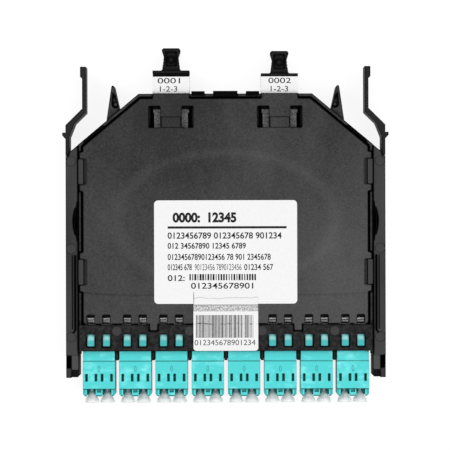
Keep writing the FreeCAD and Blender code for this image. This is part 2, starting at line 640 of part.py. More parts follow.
# ------------------------------------------------------------------------------------------ cover
def cover_outline():
    """Between the walls, with tabs over the side walls, tongues over the rear wall and over the strip."""
    front = "strip_depth + cover_seam"
    side = "half_width - cover_gap"
    right = [(side, front)]
    for start in HOOKS:
        for tab in (f"{start} - tab_length + play", f"{start} + hook_length"):
            tab_end = f"{tab} + tab_length - play"
            reach = f"{side} + tab_reach"
            right += [(side, tab), (reach, tab), (reach, tab_end), (side, tab_end)]
    right += case_outline("cover_gap")[1:3]
    left_edge, right_edge = "(mpo_spacing - mpo_width) / 2", "(mpo_spacing + mpo_width) / 2"
    right += [(right_edge, "tray_length - cover_gap"), (right_edge, "tray_length + play"),
              (left_edge, "tray_length + play"), (left_edge, "tray_length - cover_gap")]
    near, far = "front_tab_x - front_tab_width / 2", "front_tab_x + front_tab_width / 2"
    tip = "strip_depth - front_tab_reach"
    tongue = [(near, front), (near, tip), (far, tip), (far, front)]
    return right + reflected(right) + reflected(tongue) + tongue


def cover_windows():
    windows = []
    for number in range(1, ADAPTERS + 1):
        for side in PORTS:
            middle = f"{adapter_x(number)} + {side} * port_pitch / 2"
            windows.append(rectangle(f"{middle} - window_side / 2", "window_front",
                                     f"{middle} + window_side / 2", "window_front + window_side"))
    for side in PORTS:
        for hand in PORTS:
            windows.append(rectangle(f"{mpo_x(side)} + {hand} * slot_inner", "tray_length + slot_front",
                                     f"{mpo_x(side)} + {hand} * slot_outer", "tray_length + slot_rear"))
    return windows


def cover():
    body = new_body("cover")
    pad(body, draw(body, "XY_Plane", "strip_under", [cover_outline()]), "cover_thickness")
    dress(body, "Fillet", "Radius", "cover_corner", is_front_corner)
    near = "front_tab_x - front_tab_width / 2 - play"
    under = mirrored(rectangle(near, "strip_depth - front_tab_reach - play",
                               f"{near} + front_tab_width + 2 * play", "strip_depth + play"))
    pocket(body, draw(body, "XY_Plane", "strip_under", under), "tongue_rest + play", against=True)
    pocket(body, draw(body, "XY_Plane", "cover_top", cover_windows()), "cover_thickness")
    recesses = []
    for start in HOOKS:
        recesses += mirrored(rectangle("half_width - hook_reach - hook_room", start,
                                       "half_width - cover_gap + play", f"{start} + hook_length"))
    pocket(body, draw(body, "XY_Plane", "cover_top", recesses), "cover_thickness - cover_ledge")
    panels = [rectangle(f"{mpo_x(side)} - panel_width / 2", "tray_length + slot_front",
                        f"{mpo_x(side)} + panel_width / 2", "tray_length + slot_front + slot_inner")
              for side in PORTS]
    pocket(body, draw(body, "XY_Plane", "cover_top", panels), "panel_depth")
    place(body)


def is_front_corner(edge):
    """An upright edge where the cover's front meets its sides."""
    far_out = abs(edge.BoundBox.XMin) > value("half_width - cover_gap - play")
    return is_upright(edge) and far_out and edge.BoundBox.YMax < value("strip_depth + 2 * cover_seam")


# ------------------------------------------------------------------------------------------ duplex adapters
def port_outline(side):
    """Square port with its latch channel, seen along the port."""
    middle = f"{side} * port_pitch / 2"
    foot = "port_height - port_side / 2"
    head = "port_height + port_side / 2"
    return [(f"{middle} - port_side / 2", foot), (f"{middle} + port_side / 2", foot),
            (f"{middle} + port_side / 2", head), (f"{middle} + keyway_width / 2", head),
            (f"{middle} + keyway_width / 2", "keyway_top"), (f"{middle} - keyway_width / 2", "keyway_top"),
            (f"{middle} - keyway_width / 2", head), (f"{middle} - port_side / 2", head)]


def adapter_housing(body):
    half = "adapter_width / 2"
    front = rectangle(f"-{half}", "0", half, "adapter_height")
    pad(body, draw(body, "XZ_Plane", "-adapter_middle", [front]), "adapter_middle - adapter_front")
    top = "adapter_height - adapter_step"
    rear = rectangle(f"-{half} + adapter_step", "0", f"{half} - adapter_step", top)
    pad(body, draw(body, "XZ_Plane", "-adapter_rear", [rear]), "adapter_rear - adapter_middle")
    crest = "adapter_height + catch_rise"
    catch = [("catch_front", "keyway_top + adapter_step"), ("catch_rear", "keyway_top + adapter_step"),
             ("catch_rear", top), ("catch_crest", crest), ("catch_front", crest)]
    for side in PORTS:
        level = f"{side} * port_pitch / 2 - catch_width / 2"
        pad(body, draw(body, "YZ_Plane", level, [catch]), "catch_width")
    dress(body, "Chamfer", "Size", "adapter_chamfer",
          lambda edge: is_upright(edge) and edge.BoundBox.YMax < value("adapter_front") + 0.01)


def adapter_openings(body):
    ports = [port_outline(side) for side in PORTS]
    pocket(body, draw(body, "XZ_Plane", "-adapter_front", ports), "holder_front - adapter_front")
    pocket(body, draw(body, "XZ_Plane", "-adapter_rear", ports), "adapter_rear - holder_rear", against=True)
    bores = [many_sided(f"{side} * port_pitch / 2", "port_height", "sleeve_radius") for side in PORTS]
    pocket(body, draw(body, "XZ_Plane", "-holder_front", bores), "holder_rear - holder_front")
    slots = []
    for side in PORTS:
        for hand in PORTS:
            middle = f"{side} * port_pitch / 2 + {hand} * shoulder_offset"
            slots.append(rectangle(f"{middle} - shoulder_width / 2", "shoulder_front",
                                   f"{middle} + shoulder_width / 2", "shoulder_rear"))
    pocket(body, draw(body, "XY_Plane", "adapter_height", slots), "roof_thickness")
    joint = rectangle("-adapter_width / 2 - play", "adapter_middle - adapter_groove",
                      "adapter_width / 2 + play", "adapter_middle")
    pocket(body, draw(body, "XY_Plane", "adapter_height", [joint]), "adapter_groove")


def adapter_pillars(body):
    """Front ends of the walls beside the ports, lower than the top wall and open over each port."""
    beyond = "adapter_width / 2 + play"
    lowered = rectangle(f"-({beyond})", "adapter_front - play", beyond, "adapter_roof")
    pocket(body, draw(body, "XY_Plane", "adapter_height", [lowered]), "pillar_drop")
    notches = [rectangle(f"{side} * port_pitch / 2 - notch_width / 2", "adapter_front - play",
                         f"{side} * port_pitch / 2 + notch_width / 2", "adapter_roof") for side in PORTS]
    pocket(body, draw(body, "XY_Plane", "adapter_height", notches), "adapter_height - port_height")
    recess = rectangle("-pillar_recess_width / 2", "adapter_roof - pillar_recess_length",
                       "pillar_recess_width / 2", "adapter_roof")
    pocket(body, draw(body, "XY_Plane", "adapter_height", [recess]), "roof_thickness + pillar_drop")


def duplex_adapter(number):
    body = new_body(f"lc_adapter_{number}")
    adapter_housing(body)
    adapter_openings(body)
    adapter_pillars(body)
    place(body, adapter_x(number), "floor_thickness")


def alignment_sleeves(number):
    """Two ceramic sleeves, one in each bore of the adapter."""
    body = new_body(f"alignment_sleeves_{number}")
    rings = [many_sided(f"{side} * port_pitch / 2", "port_height", radius)
             for side in PORTS for radius in ("sleeve_radius", "sleeve_bore")]
    pad(body, draw(body, "XZ_Plane", "-holder_rear", rings), "holder_rear - holder_front")
    place(body, adapter_x(number), "floor_thickness")


def duplex_dust_plug(number):
    """A flared grip on a stem that reaches into the alignment sleeve."""
    body = new_body(f"lc_dust_plug_{number}")
    face = many_sided("0", "0", "plug_rim_radius", PLUG_SIDES)
    front_sketch = draw(body, "XZ_Plane", "-plug_face", [face])
    grip = pad(body, front_sketch, "plug_flare_start - plug_face", against=True)
    doc.recompute()
    flats = [name for name, flat in faces_of(grip) if flat.BoundBox.YLength > 1]
    front = [name for name, flat in faces_of(grip) if flat.BoundBox.YMax < value("plug_face") + 0.01]
    flare = body.newObject("PartDesign::Draft", "flare")
    flare.Base = (grip, flats)
    flare.NeutralPlane = (grip, front)
    slope = "atan((plug_rim_radius - plug_stem_radius) / (plug_flare_start - plug_face))"
    flare.setExpression("Angle", formula(slope))
    stem = many_sided("0", "0", "plug_stem_radius", PLUG_SIDES)
    pad(body, draw(body, "XZ_Plane", "-plug_stem_end", [stem]), "plug_stem_end - plug_flare_start")
    side = PORTS[(number - 1) % 2]
    axis = f"{adapter_x((number + 1) // 2)} + {side} * port_pitch / 2"
    place(body, axis, "floor_thickness + port_height")


def inner_plugs(number):
    """The two single plugs inside, behind one adapter: ferrule, housing, latch and boot."""
    body = new_body(f"inner_lc_plugs_{number}")
    axes = [f"{side} * port_pitch / 2" for side in PORTS]
    ferrules = [many_sided(axis, "port_height", "ferrule_radius") for axis in axes]
    pad(body, draw(body, "XZ_Plane", "-holder_rear - play", ferrules), "holder_rear + play - ferrule_tip")
    half = "inner_plug_side / 2"
    housings = [rectangle(f"{axis} - {half}", f"port_height - {half}",
                          f"{axis} + {half}", f"port_height + {half}") for axis in axes]
    pad(body, draw(body, "XZ_Plane", "-inner_plug_rear", housings), "inner_plug_rear - holder_rear - play")
    top = "port_height + inner_plug_side / 2"
    latch = [("latch_foot", f"{top} - play"), ("latch_foot + latch_thickness", f"{top} - play"),
             ("latch_tip", f"{top} + latch_rise - latch_thickness"), ("latch_tip", f"{top} + latch_rise"),
             ("latch_foot + 2 * latch_thickness", f"{top} + latch_thickness"),
             ("latch_foot", f"{top} + play")]
    for axis in axes:
        pad(body, draw(body, "YZ_Plane", f"{axis} - latch_width / 2", [latch]), "latch_width")
    notch_rear = "latch_tip - latch_notch"
    notches = [rectangle(f"{axis} - latch_width / 2 - play", f"{notch_rear} - latch_notch",
                         f"{axis} + latch_width / 2 + play", notch_rear) for axis in axes]
    pocket(body, draw(body, "XY_Plane", f"{top} + latch_rise", notches), "latch_notch")
    boot = [("inner_plug_rear", "port_height - inner_boot_side / 2"),
            ("inner_boot_end", "port_height - inner_boot_tip / 2"),
            ("inner_boot_end", "port_height + inner_boot_tip / 2"),
            ("inner_plug_rear", "port_height + inner_boot_side / 2")]
    for axis in axes:
        pad(body, draw(body, "YZ_Plane", f"{axis} - inner_boot_tip / 2", [boot]), "inner_boot_tip")
    place(body, adapter_x(number), "floor_thickness")


# ------------------------------------------------------------------------------------------ multi-fibre ports
def centred(width, height):
    return rectangle(f"-({width}) / 2", f"mpo_axis - ({height}) / 2",
                     f"({width}) / 2", f"mpo_axis + ({height}) / 2")


def mpo_adapter(number, side, standoff):
    body = new_body(f"mpo_adapter_{number}")
    rear = f"(mpo_rear + {standoff} * mpo_standoff)"
    shell = centred("mpo_width", "adapter_height")
    pad(body, draw(body, "XZ_Plane", f"-{rear}", [shell]), f"{rear} - mpo_front")
    flange = centred("mpo_width + 2 * mpo_flange", "adapter_height")
    pad(body, draw(body, "XZ_Plane", "2 * wall_thickness", [flange]), "mpo_flange_length")
    socket = centred("mpo_port_width", "mpo_port_height")
    pocket(body, draw(body, "XZ_Plane", f"-{rear}", [socket]), f"{rear} - mpo_web_rear", against=True)
    pocket(body, draw(body, "XZ_Plane", "-mpo_front", [socket]), "mpo_web_front - mpo_front")
    window = centred("mpo_window_width", "mpo_window_height")
    pocket(body, draw(body, "XZ_Plane", "-mpo_web_front", [window]), "mpo_web_rear - mpo_web_front")
    key = rectangle("-mpo_key_width / 2", "mpo_axis", "mpo_key_width / 2",
                    "mpo_axis + mpo_port_height / 2 + mpo_key_rise")
    pocket(body, draw(body, "XZ_Plane", f"-{rear}", [key]), f"{rear} - mpo_web_rear", against=True)
    place(body, mpo_x(side), "floor_thickness", from_rear=True)


def mpo_plug(number, side):
    """The connector inside, latched into the adapter."""
    body = new_body(f"inner_mpo_plug_{number}")
    nose = centred("mpo_plug_width", "mpo_plug_height")
    pad(body, draw(body, "XZ_Plane", "play - mpo_web_front", [nose]),
        "mpo_web_front - mpo_collar_front - play")
    collar = centred("mpo_collar_width", "mpo_collar_height")
    pad(body, draw(body, "XZ_Plane", "-mpo_collar_rear", [collar]), "mpo_collar_rear - mpo_collar_front")
    rim = centred("mpo_rim_width", "mpo_collar_height")
    for level in ("-mpo_collar_rear", "-mpo_collar_front - mpo_rim_length"):
        pad(body, draw(body, "XZ_Plane", level, [rim]), "mpo_rim_length")
    ferrule = centred("mpo_ferrule_width", "mpo_ferrule_height")
    pad(body, draw(body, "XZ_Plane", "play - mpo_web_rear", [ferrule]), "mpo_web_rear - mpo_web_front")
    boot = [("mpo_boot_end", "mpo_axis - mpo_boot_tip / 2"),
            ("mpo_collar_front", "mpo_axis - mpo_boot_height / 2"),
            ("mpo_collar_front", "mpo_axis + mpo_boot_height / 2"),
            ("mpo_boot_end", "mpo_axis + mpo_boot_tip / 2")]
    pad(body, draw(body, "YZ_Plane", "-mpo_boot_width / 2", [boot]), "mpo_boot_width")
    place(body, mpo_x(side), "floor_thickness", from_rear=True)


def cap_grip(body, base):
    """Waisted grip with notched sides and a ring in its recess, from y = base on."""
    right = [("cap_grip_base / 2 + cap_neck", base), ("cap_grip_base / 2", f"{base} + cap_neck"),
             ("cap_grip_waist / 2", f"{base} + cap_waist_at"),
             ("cap_grip_end / 2", f"{base} + cap_shoulder_at"),
             ("cap_grip_end / 2", f"{base} + cap_grip_length - cap_neck"),
             ("cap_grip_end / 2 - cap_neck", f"{base} + cap_grip_length")]
    grip = draw(body, "XY_Plane", "mpo_axis - cap_grip_height / 2", [right + reflected(right)])
    pad(body, grip, "cap_grip_height")
    top = "mpo_axis + cap_grip_height / 2"
    recess = rectangle("-cap_recess_width / 2", f"{base} + cap_recess_front",
                       "cap_recess_width / 2", f"{base} + cap_recess_rear")
    pocket(body, draw(body, "XY_Plane", top, [recess]), "cap_recess_depth")
    ring = [many_sided("0", f"{base} + cap_ring_at", radius, PLUG_SIDES)
            for radius in ("cap_ring_radius", "cap_ring_bore")]
    pad(body, draw(body, "XY_Plane", f"{top} - cap_recess_depth", ring), "cap_recess_depth / 2")
    notches = []
    for step in range(3):
        middle = f"{base} + cap_waist_at - (0.5 + {step}) * cap_rib_pitch"
        notches += mirrored(rectangle("cap_grip_waist / 2", f"{middle} - cap_rib_width / 2",
                                      "cap_grip_end / 2", f"{middle} + cap_rib_width / 2"))
    pocket(body, draw(body, "XY_Plane", top, notches), "cap_grip_height")


def mpo_dust_cap(number, side, standoff):
    body = new_body(f"mpo_dust_cap_{number}")
    face = f"mpo_rear + {standoff} * mpo_standoff"
    core = centred("cap_core_width", "cap_core_height")
    pad(body, draw(body, "XZ_Plane", f"-({face})", [core]), "cap_core_length")
    hollow = centred("cap_core_width - 2 * cap_skin", "cap_core_height - 2 * cap_skin")
    pocket(body, draw(body, "XZ_Plane", f"cap_core_length - ({face})", [hollow]),
           "cap_core_length - cap_skin")
    flange = centred("cap_flange_width", "cap_flange_height")
    pad(body, draw(body, "XZ_Plane", f"-({face})", [flange]), "cap_flange_thickness", against=True)
    cap_grip(body, f"{face} + cap_flange_thickness")
    place(body, mpo_x(side), "floor_thickness", from_rear=True)


# ------------------------------------------------------------------------------------------ latch arms
def latch_arm(label, side):
    body = new_body(label)
    inner = "arm_outer - arm_thickness"
    shaft_inner = "shaft_outer - arm_thickness"
    right = [("arm_outer", "arm_root"), ("arm_outer", "nub_front"), ("arm_outer + nub_reach", "nub_crest"),
             ("arm_outer + nub_reach", "nub_rear"), ("arm_outer", "nub_rear"), ("arm_outer", "arm_elbow"),
             ("shaft_outer", "shaft_front"), ("shaft_outer", "head_front - head_reach"),
             ("shaft_outer + head_reach", "head_front"), ("shaft_outer + head_reach", "head_rear"),
             (shaft_inner, "head_rear"), (shaft_inner, "shaft_front - arm_thickness"),
             (f"{inner} - gusset_width", "arm_elbow + gusset_width - arm_thickness"),
             (inner, "gusset_front"), (inner, "arm_root")]
    outline = [(f"{side} * ({x})", y) for x, y in right]
    height = "cover_top - arm_drop - arm_base"
    pad(body, draw(body, "XY_Plane", "arm_base", [outline]), height)
    root = [(f"{side} * (arm_outer - arm_thickness / 2)", "arm_root", "arm_thickness / 2")]
    pad(body, draw(body, "XY_Plane", "arm_base", [], root), height)
    place(body, from_rear=True)


# ------------------------------------------------------------------------------------------ labels
def main_label():
    body = new_body("main_label")
    paper = rectangle("-label_width / 2", "label_front", "label_width / 2", "label_rear")
    pad(body, draw(body, "XY_Plane", "cover_top", [paper]), "paper")
    dress(body, "Fillet", "Radius", "label_radius", is_upright)
    place(body)


def seal_label():
    """Lies over the joint between the front strip and the cover, and climbs onto the main label."""
    body = new_body("seal_label")
    low = "cover_top"
    high = "cover_top + paper"
    front = "play - strip_brim"
    profile = [(front, low), ("seal_step", low), ("seal_step + 2 * paper", high), ("seal_rear", high),
               ("seal_rear", f"{high} + paper"), ("seal_step", f"{high} + paper"),
               ("seal_step - 2 * paper", f"{low} + paper"), (front, f"{low} + paper")]
    pad(body, draw(body, "YZ_Plane", "-seal_width / 2", [profile]), "seal_width")
    dress(body, "Fillet", "Radius", "seal_radius", is_upright)
    place(body)


def mpo_label(number, side):
    body = new_body(f"mpo_label_{number}")
    inner = "mpo_width / 2"
    outer = "mpo_width / 2 + band_thickness"
    top = "mpo_axis + adapter_height / 2"
    foot = f"{top} - band_drop"
    right = [(inner, top), (inner, foot), (outer, foot), (outer, f"{top} + band_thickness")]
    pad(body, draw(body, "XZ_Plane", "-band_rear", [right + reflected(right)]), "band_rear - band_front")
    place(body, mpo_x(side), "floor_thickness", from_rear=True)


# ------------------------------------------------------------------------------------------ fibre leads
def fan_out(number, side):
    """Block behind the connector's boot, where the fibres part into single leads."""
    body = new_body(f"fanout_block_{number}")
    block = centred("fanout_width", "fanout_height")
    pad(body, draw(body, "XZ_Plane", "-mpo_boot_end", [block]), "mpo_boot_end - fanout_front")
    place(body, mpo_x(side), "floor_thickness", from_rear=True)


def lead_path(start, end, radius):
    """Two equal arcs joined by a straight stretch, from a point to one further forward and to the side."""
    shift = abs(end.x - start.x)
    run = start.y - end.y
    hand = math.copysign(1.0, end.x - start.x)
    turn = math.atan2(shift - 2 * radius, run) + math.asin(2 * radius / math.hypot(shift - 2 * radius, run))

    def along(angle):
        return FreeCAD.Vector(hand * radius * (1 - math.cos(angle)), -radius * math.sin(angle), 0)

    first = Part.Arc(start, start + along(turn / 2), start + along(turn)).toShape()
    second = Part.Arc(end - along(turn), end - along(turn / 2), end).toShape()
    return [first, Part.makeLine(start + along(turn), end - along(turn)), second]


def fibre_leads(number, side):
    """Eight leads that spread from the fan-out block to the boots of the inner plugs, all at one height."""
    ahead = FreeCAD.Vector(0, value("lead_straight"), 0)
    half = value("lead_side") / 2
    height = value("floor_thickness + port_height")
    plugs = [value(f"{adapter_x(adapter)} + {hand} * port_pitch / 2")
             for adapter in range(1, ADAPTERS + 1) for hand in PORTS]
    tubes = []
    for lead, end_x in enumerate(x for x in plugs if x * side > 0):
        start_x = value(f"{mpo_x(side)} + ({lead} - {(ADAPTERS - 1) / 2}) * lead_pitch")
        start = FreeCAD.Vector(start_x, value("tray_length + fanout_front"), height)
        end = FreeCAD.Vector(end_x, value("inner_boot_end"), height)
        bends = lead_path(start - ahead, end + ahead, value("lead_bend"))
        path = Part.Wire([Part.makeLine(start, start - ahead)] + bends + [Part.makeLine(end + ahead, end)])
        sides = ((-half, -half), (half, -half), (half, half), (-half, half))
        corners = [FreeCAD.Vector(x, 0, z) for x, z in sides]
        section = Part.makePolygon([start + corner for corner in corners + corners[:1]])
        tubes.append(path.makePipeShell([section], True, False))
    feature = doc.addObject("Part::Feature", f"fibre_leads_{number}")
    feature.Label = f"fibre_leads_{number}"
    feature.Shape = Part.makeCompound(tubes)
    place(feature)


# ------------------------------------------------------------------------------------------ assembly
def build():
    tray()
    cover()
    latch_arm("left_latch_arm", -1)
    latch_arm("right_latch_arm", 1)
    for number in range(1, ADAPTERS + 1):
        duplex_adapter(number)
        alignment_sleeves(number)
        inner_plugs(number)
    for number in range(1, 2 * ADAPTERS + 1):
        duplex_dust_plug(number)
    for number, side, standoff in ((1, -1, 1), (2, 1, 0)):
        mpo_adapter(number, side, standoff)
        mpo_plug(number, side)
        mpo_dust_cap(number, side, standoff)
        mpo_label(number, side)
        fan_out(number, side)
        fibre_leads(number, side)
    main_label()
    seal_label()
    doc.recompute()


def export():
    for item in doc.Objects:
        if "Invalid" in item.State or "Error" in item.State:
            raise RuntimeError(f"{item.Label} failed: {item.State}")
        if item.TypeId == "PartDesign::Pocket" and item.Shape.Volume > item.BaseFeature.Shape.Volume - 1e-6:
            raise RuntimeError(f"{item.Label} cuts nothing")
    os.makedirs("parts", exist_ok=True)
    for sub_part in FINISHED:
        shape = sub_part.Shape
        if shape.isNull() or not shape.isValid() or not shape.Solids:
            raise RuntimeError(f"{sub_part.Label} has no valid solid")
        shape.exportStep(f"parts/{sub_part.Label}.step")
        print(sub_part.Label, len(shape.Solids), "solids", round(shape.Volume, 1), "mm3")


build()
export()
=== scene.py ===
import math

import bmesh
import bpy
from mathutils import Matrix, Vector


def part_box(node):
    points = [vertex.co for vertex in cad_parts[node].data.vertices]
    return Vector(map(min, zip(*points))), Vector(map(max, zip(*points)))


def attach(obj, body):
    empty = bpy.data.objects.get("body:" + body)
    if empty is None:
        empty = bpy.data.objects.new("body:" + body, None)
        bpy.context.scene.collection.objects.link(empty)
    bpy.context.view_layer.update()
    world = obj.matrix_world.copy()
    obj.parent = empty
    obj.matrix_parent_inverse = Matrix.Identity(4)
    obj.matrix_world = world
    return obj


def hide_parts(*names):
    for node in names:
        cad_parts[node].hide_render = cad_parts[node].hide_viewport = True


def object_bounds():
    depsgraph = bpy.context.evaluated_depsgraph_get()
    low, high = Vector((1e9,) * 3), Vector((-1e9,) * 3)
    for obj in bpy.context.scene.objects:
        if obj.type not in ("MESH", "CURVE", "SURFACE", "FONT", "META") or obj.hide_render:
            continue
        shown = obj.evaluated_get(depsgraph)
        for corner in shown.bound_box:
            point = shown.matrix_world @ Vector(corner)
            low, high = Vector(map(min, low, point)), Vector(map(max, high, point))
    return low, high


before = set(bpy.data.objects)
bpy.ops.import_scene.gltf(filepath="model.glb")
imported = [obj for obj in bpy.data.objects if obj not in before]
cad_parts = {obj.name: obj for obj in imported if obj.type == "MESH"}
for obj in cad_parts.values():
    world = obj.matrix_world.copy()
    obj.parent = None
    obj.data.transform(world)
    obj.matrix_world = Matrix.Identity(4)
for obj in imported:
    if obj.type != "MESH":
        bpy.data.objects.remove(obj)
cad_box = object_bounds()

MM = 0.001
ADAPTERS = 8
COVER_FRONT = 7.8 * MM  # tips of the cover's front tongues behind the tray's front edge
COVER_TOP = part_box("cover")[1].z
COVER_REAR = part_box("cover")[1].y
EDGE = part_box("cover")[0].y - COVER_FRONT  # front edge of the tray's side walls


def at(y):
    """Millimetres behind the tray's front edge, as a y position."""
    return EDGE + y * MM


# Places across the cassette are in metres from its middle, and places along it in metres as at() gives them.
WALL_SIDE = 59.0 * MM  # outside of the side walls
RAIL_TOP = COVER_TOP - 0.6 * MM
MARK_DEPTH = 0.12 * MM  # ejector marks below the face around them
STRIP_REAR = at(12.0)  # behind it the walls are matt
OVAL_MIDDLE = at(52.5)
OVAL_WIDTH = 44.0 * MM  # from the oval's middle to its side
OVAL_DEPTH = 26.5 * MM  # from the oval's middle to its front
STEP_LINE = at(22.0)
HOOK_MIDDLES = (at(31.25), at(71.45))
HOOK_HALF = 5.3 * MM
HOOK_EDGE = 56.95 * MM  # where the hooks' sunk inner edges start
NOSE_REAR = at(-2.2)
NOSE_FALL = at(-7.8)  # where the inner half of a rail's nose starts to fall
NOSE_SPLIT = WALL_SIDE + 2.9 * MM  # line between the two halves of a rail's nose
WELL_MIDDLE = at(-4.7)
WELL_HALF = 2.5 * MM
ROOF_TOP = max(vertex.co.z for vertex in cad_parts["lc_adapter_1"].data.vertices
               if vertex.co.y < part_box("cover")[0].y - 10 * MM)  # top of the adapters in front of the tray
FIRST_ADAPTER = (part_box("lc_adapter_1")[0].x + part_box("lc_adapter_1")[1].x) / 2
ADAPTER_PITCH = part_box("lc_adapter_2")[0].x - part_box("lc_adapter_1")[0].x
CATCH_CREST = at(3.9)
PILLARS_REAR = at(-15.75)
PILLARS_FRONT = at(-18.2)  # in front of it only their end faces show
LATCH_STEP = at(12.05)  # line across the inner plugs' latches
BOOT_START = at(12.9)
SEAL_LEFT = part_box("seal_label")[0].x
LABEL_END = at(18.05)
INK_DEPTH = 0.012 * MM
GAP_REACH = 1.2 * MM  # how far away a face still shades another
CAMERA_PLACE = (-0.24 * MM, at(50.0), COVER_TOP + 0.75)
CAMERA_ROLL = -0.15  # degrees


# ------------------------------------------------------------------------------------------ node helpers
def add(tree, kind, inputs=None, **settings):
    """A node with its settings, and with numbers or other nodes' sockets on its inputs."""
    node = tree.nodes.new(kind)
    for name, setting in settings.items():
        setattr(node, name, setting)
    for key, given in (inputs or {}).items():
        if isinstance(given, bpy.types.NodeSocket):
            tree.links.new(given, node.inputs[key])
        else:
            node.inputs[key].default_value = given
    return node


def new_finish(name, roughness, shine=0.5):
    """A material with its tree, its shader and the Object coordinates."""
    finish = bpy.data.materials.new(name)
    finish.use_nodes = True
    tree = finish.node_tree
    tree.nodes.clear()
    shader = add(tree, "ShaderNodeBsdfPrincipled", {"Roughness": roughness, "Specular IOR Level": shine})
    add(tree, "ShaderNodeOutputMaterial", {"Surface": shader.outputs[0]})
    return finish, tree, shader, add(tree, "ShaderNodeTexCoord").outputs["Object"]


def noise(tree, where, size, detail=2.0, roughness=0.5):
    """Noise whose spots are about size metres across."""
    node = add(tree, "ShaderNodeTexNoise", {"Vector": where, "Scale": 1.0 / size, "Detail": detail,
                                            "Roughness": roughness})
    return node.outputs["Fac"]


def stretched(tree, where, scale, turn=0.0):
    """The coordinates scaled and turned about z."""
    node = add(tree, "ShaderNodeMapping", {"Vector": where, "Scale": scale, "Rotation": (0, 0, turn)})
    return node.outputs[0]


def spread(tree, amount, low, high, to_low=0.0, to_high=1.0):
    """Maps the range low..high to to_low..to_high, held at both ends."""
    node = add(tree, "ShaderNodeMapRange", {"Value": amount, "From Min": low, "From Max": high,
                                            "To Min": to_low, "To Max": to_high})
    return node.outputs["Result"]


def sums(tree, operation, *values):
    """One step of arithmetic on numbers or sockets."""
    return add(tree, "ShaderNodeMath", dict(enumerate(values)), operation=operation).outputs[0]


def band(tree, amount, middle, reach):
    """1 where amount is within reach of middle, and 0 elsewhere."""
    return sums(tree, "COMPARE", amount, middle, reach)


def axes(tree, where):
    """The x, y and z of a vector."""
    return add(tree, "ShaderNodeSeparateXYZ", {"Vector": where}).outputs[:3]


def tint(tree, amount, first, second):
    """Mixes two colours, each given as a socket or as red, green and blue."""
    node = tree.nodes.new("ShaderNodeMix")
    node.data_type = "RGBA"
    for key, given in ((0, amount), (6, first), (7, second)):
        if isinstance(given, bpy.types.NodeSocket):
            tree.links.new(given, node.inputs[key])
        else:
            node.inputs[key].default_value = given if key == 0 else (*given, 1.0)
    return node.outputs[2]


def coloured(tree, shader, colour, shade=None, closed=0.5, open_air=0.92, edge=0.7 * MM):
    """Gives the colour, which turns to the shade colour as painted shade on upright sides, in narrow gaps and
    near a face's rim.
    A gap is all shade below closed and has none above open_air, from 0 for shut to 1 for open."""
    if shade is not None:
        # painted shade: darker on upright sides, in narrow gaps and along rims, from the surface's facing and
        # from ambient occlusion
        facing = add(tree, "ShaderNodeTexCoord").outputs["Normal"]
        level = spread(tree, sums(tree, "ABSOLUTE", axes(tree, facing)[2]), 0.6, 0.98)
        gaps = add(tree, "ShaderNodeAmbientOcclusion", {"Distance": GAP_REACH}).outputs["AO"]
        rims = add(tree, "ShaderNodeAmbientOcclusion", {"Distance": edge}, inside=True).outputs["AO"]
        light = sums(tree, "MULTIPLY", spread(tree, gaps, closed, open_air), spread(tree, rims, 0.55, 0.85))
        colour = tint(tree, sums(tree, "MULTIPLY", level, light), shade, colour)
    tree.links.new(colour, shader.inputs["Base Color"])


def bumped(tree, shader, height, distance):
    """Roughens the surface by height, up to distance deep."""
    node = add(tree, "ShaderNodeBump", {"Height": height, "Distance": distance})
    tree.links.new(node.outputs["Normal"], shader.inputs["Normal"])


# ------------------------------------------------------------------------------------------ finishes
def grey(level):
    return (level, level, level)


# black of painted shade, on upright sides, in gaps, notches and recesses
PAINTED_SHADE_BLACK = grey(0.001)


def grained(tree, where, grain):
    """Fine spark-eroded grain, between 0 and 1."""
    return spread(tree, noise(tree, where, grain, 3.0, 0.7), 0.25, 0.75)


def ridge(tree, amount, middle, reach):
    """1 on the line where amount is middle, falling to 0 at reach from it."""
    off = sums(tree, "ABSOLUTE", sums(tree, "SUBTRACT", amount, middle))
    return spread(tree, off, 0.0, reach, 1.0, 0.0)


def beside_hooks(tree, back):
    """1 along the snap hooks, and 0 elsewhere."""
    return sums(tree, "MAXIMUM", *(band(tree, back, middle, HOOK_HALF) for middle in HOOK_MIDDLES))


def rear_notches(tree, across, back, middle_depth, side_depth):
    """1 in the three notches of the rear edge, and 0 elsewhere."""
    middle = sums(tree, "MULTIPLY", band(tree, across, 0.2 * MM, 5.1 * MM),
                  sums(tree, "GREATER_THAN", back, COVER_REAR - middle_depth))
    sides = sums(tree, "MULTIPLY", band(tree, sums(tree, "ABSOLUTE", across), 10.8 * MM, 2.75 * MM),
                 sums(tree, "GREATER_THAN", back, COVER_REAR - side_depth))
    return sums(tree, "MAXIMUM", middle, sides)


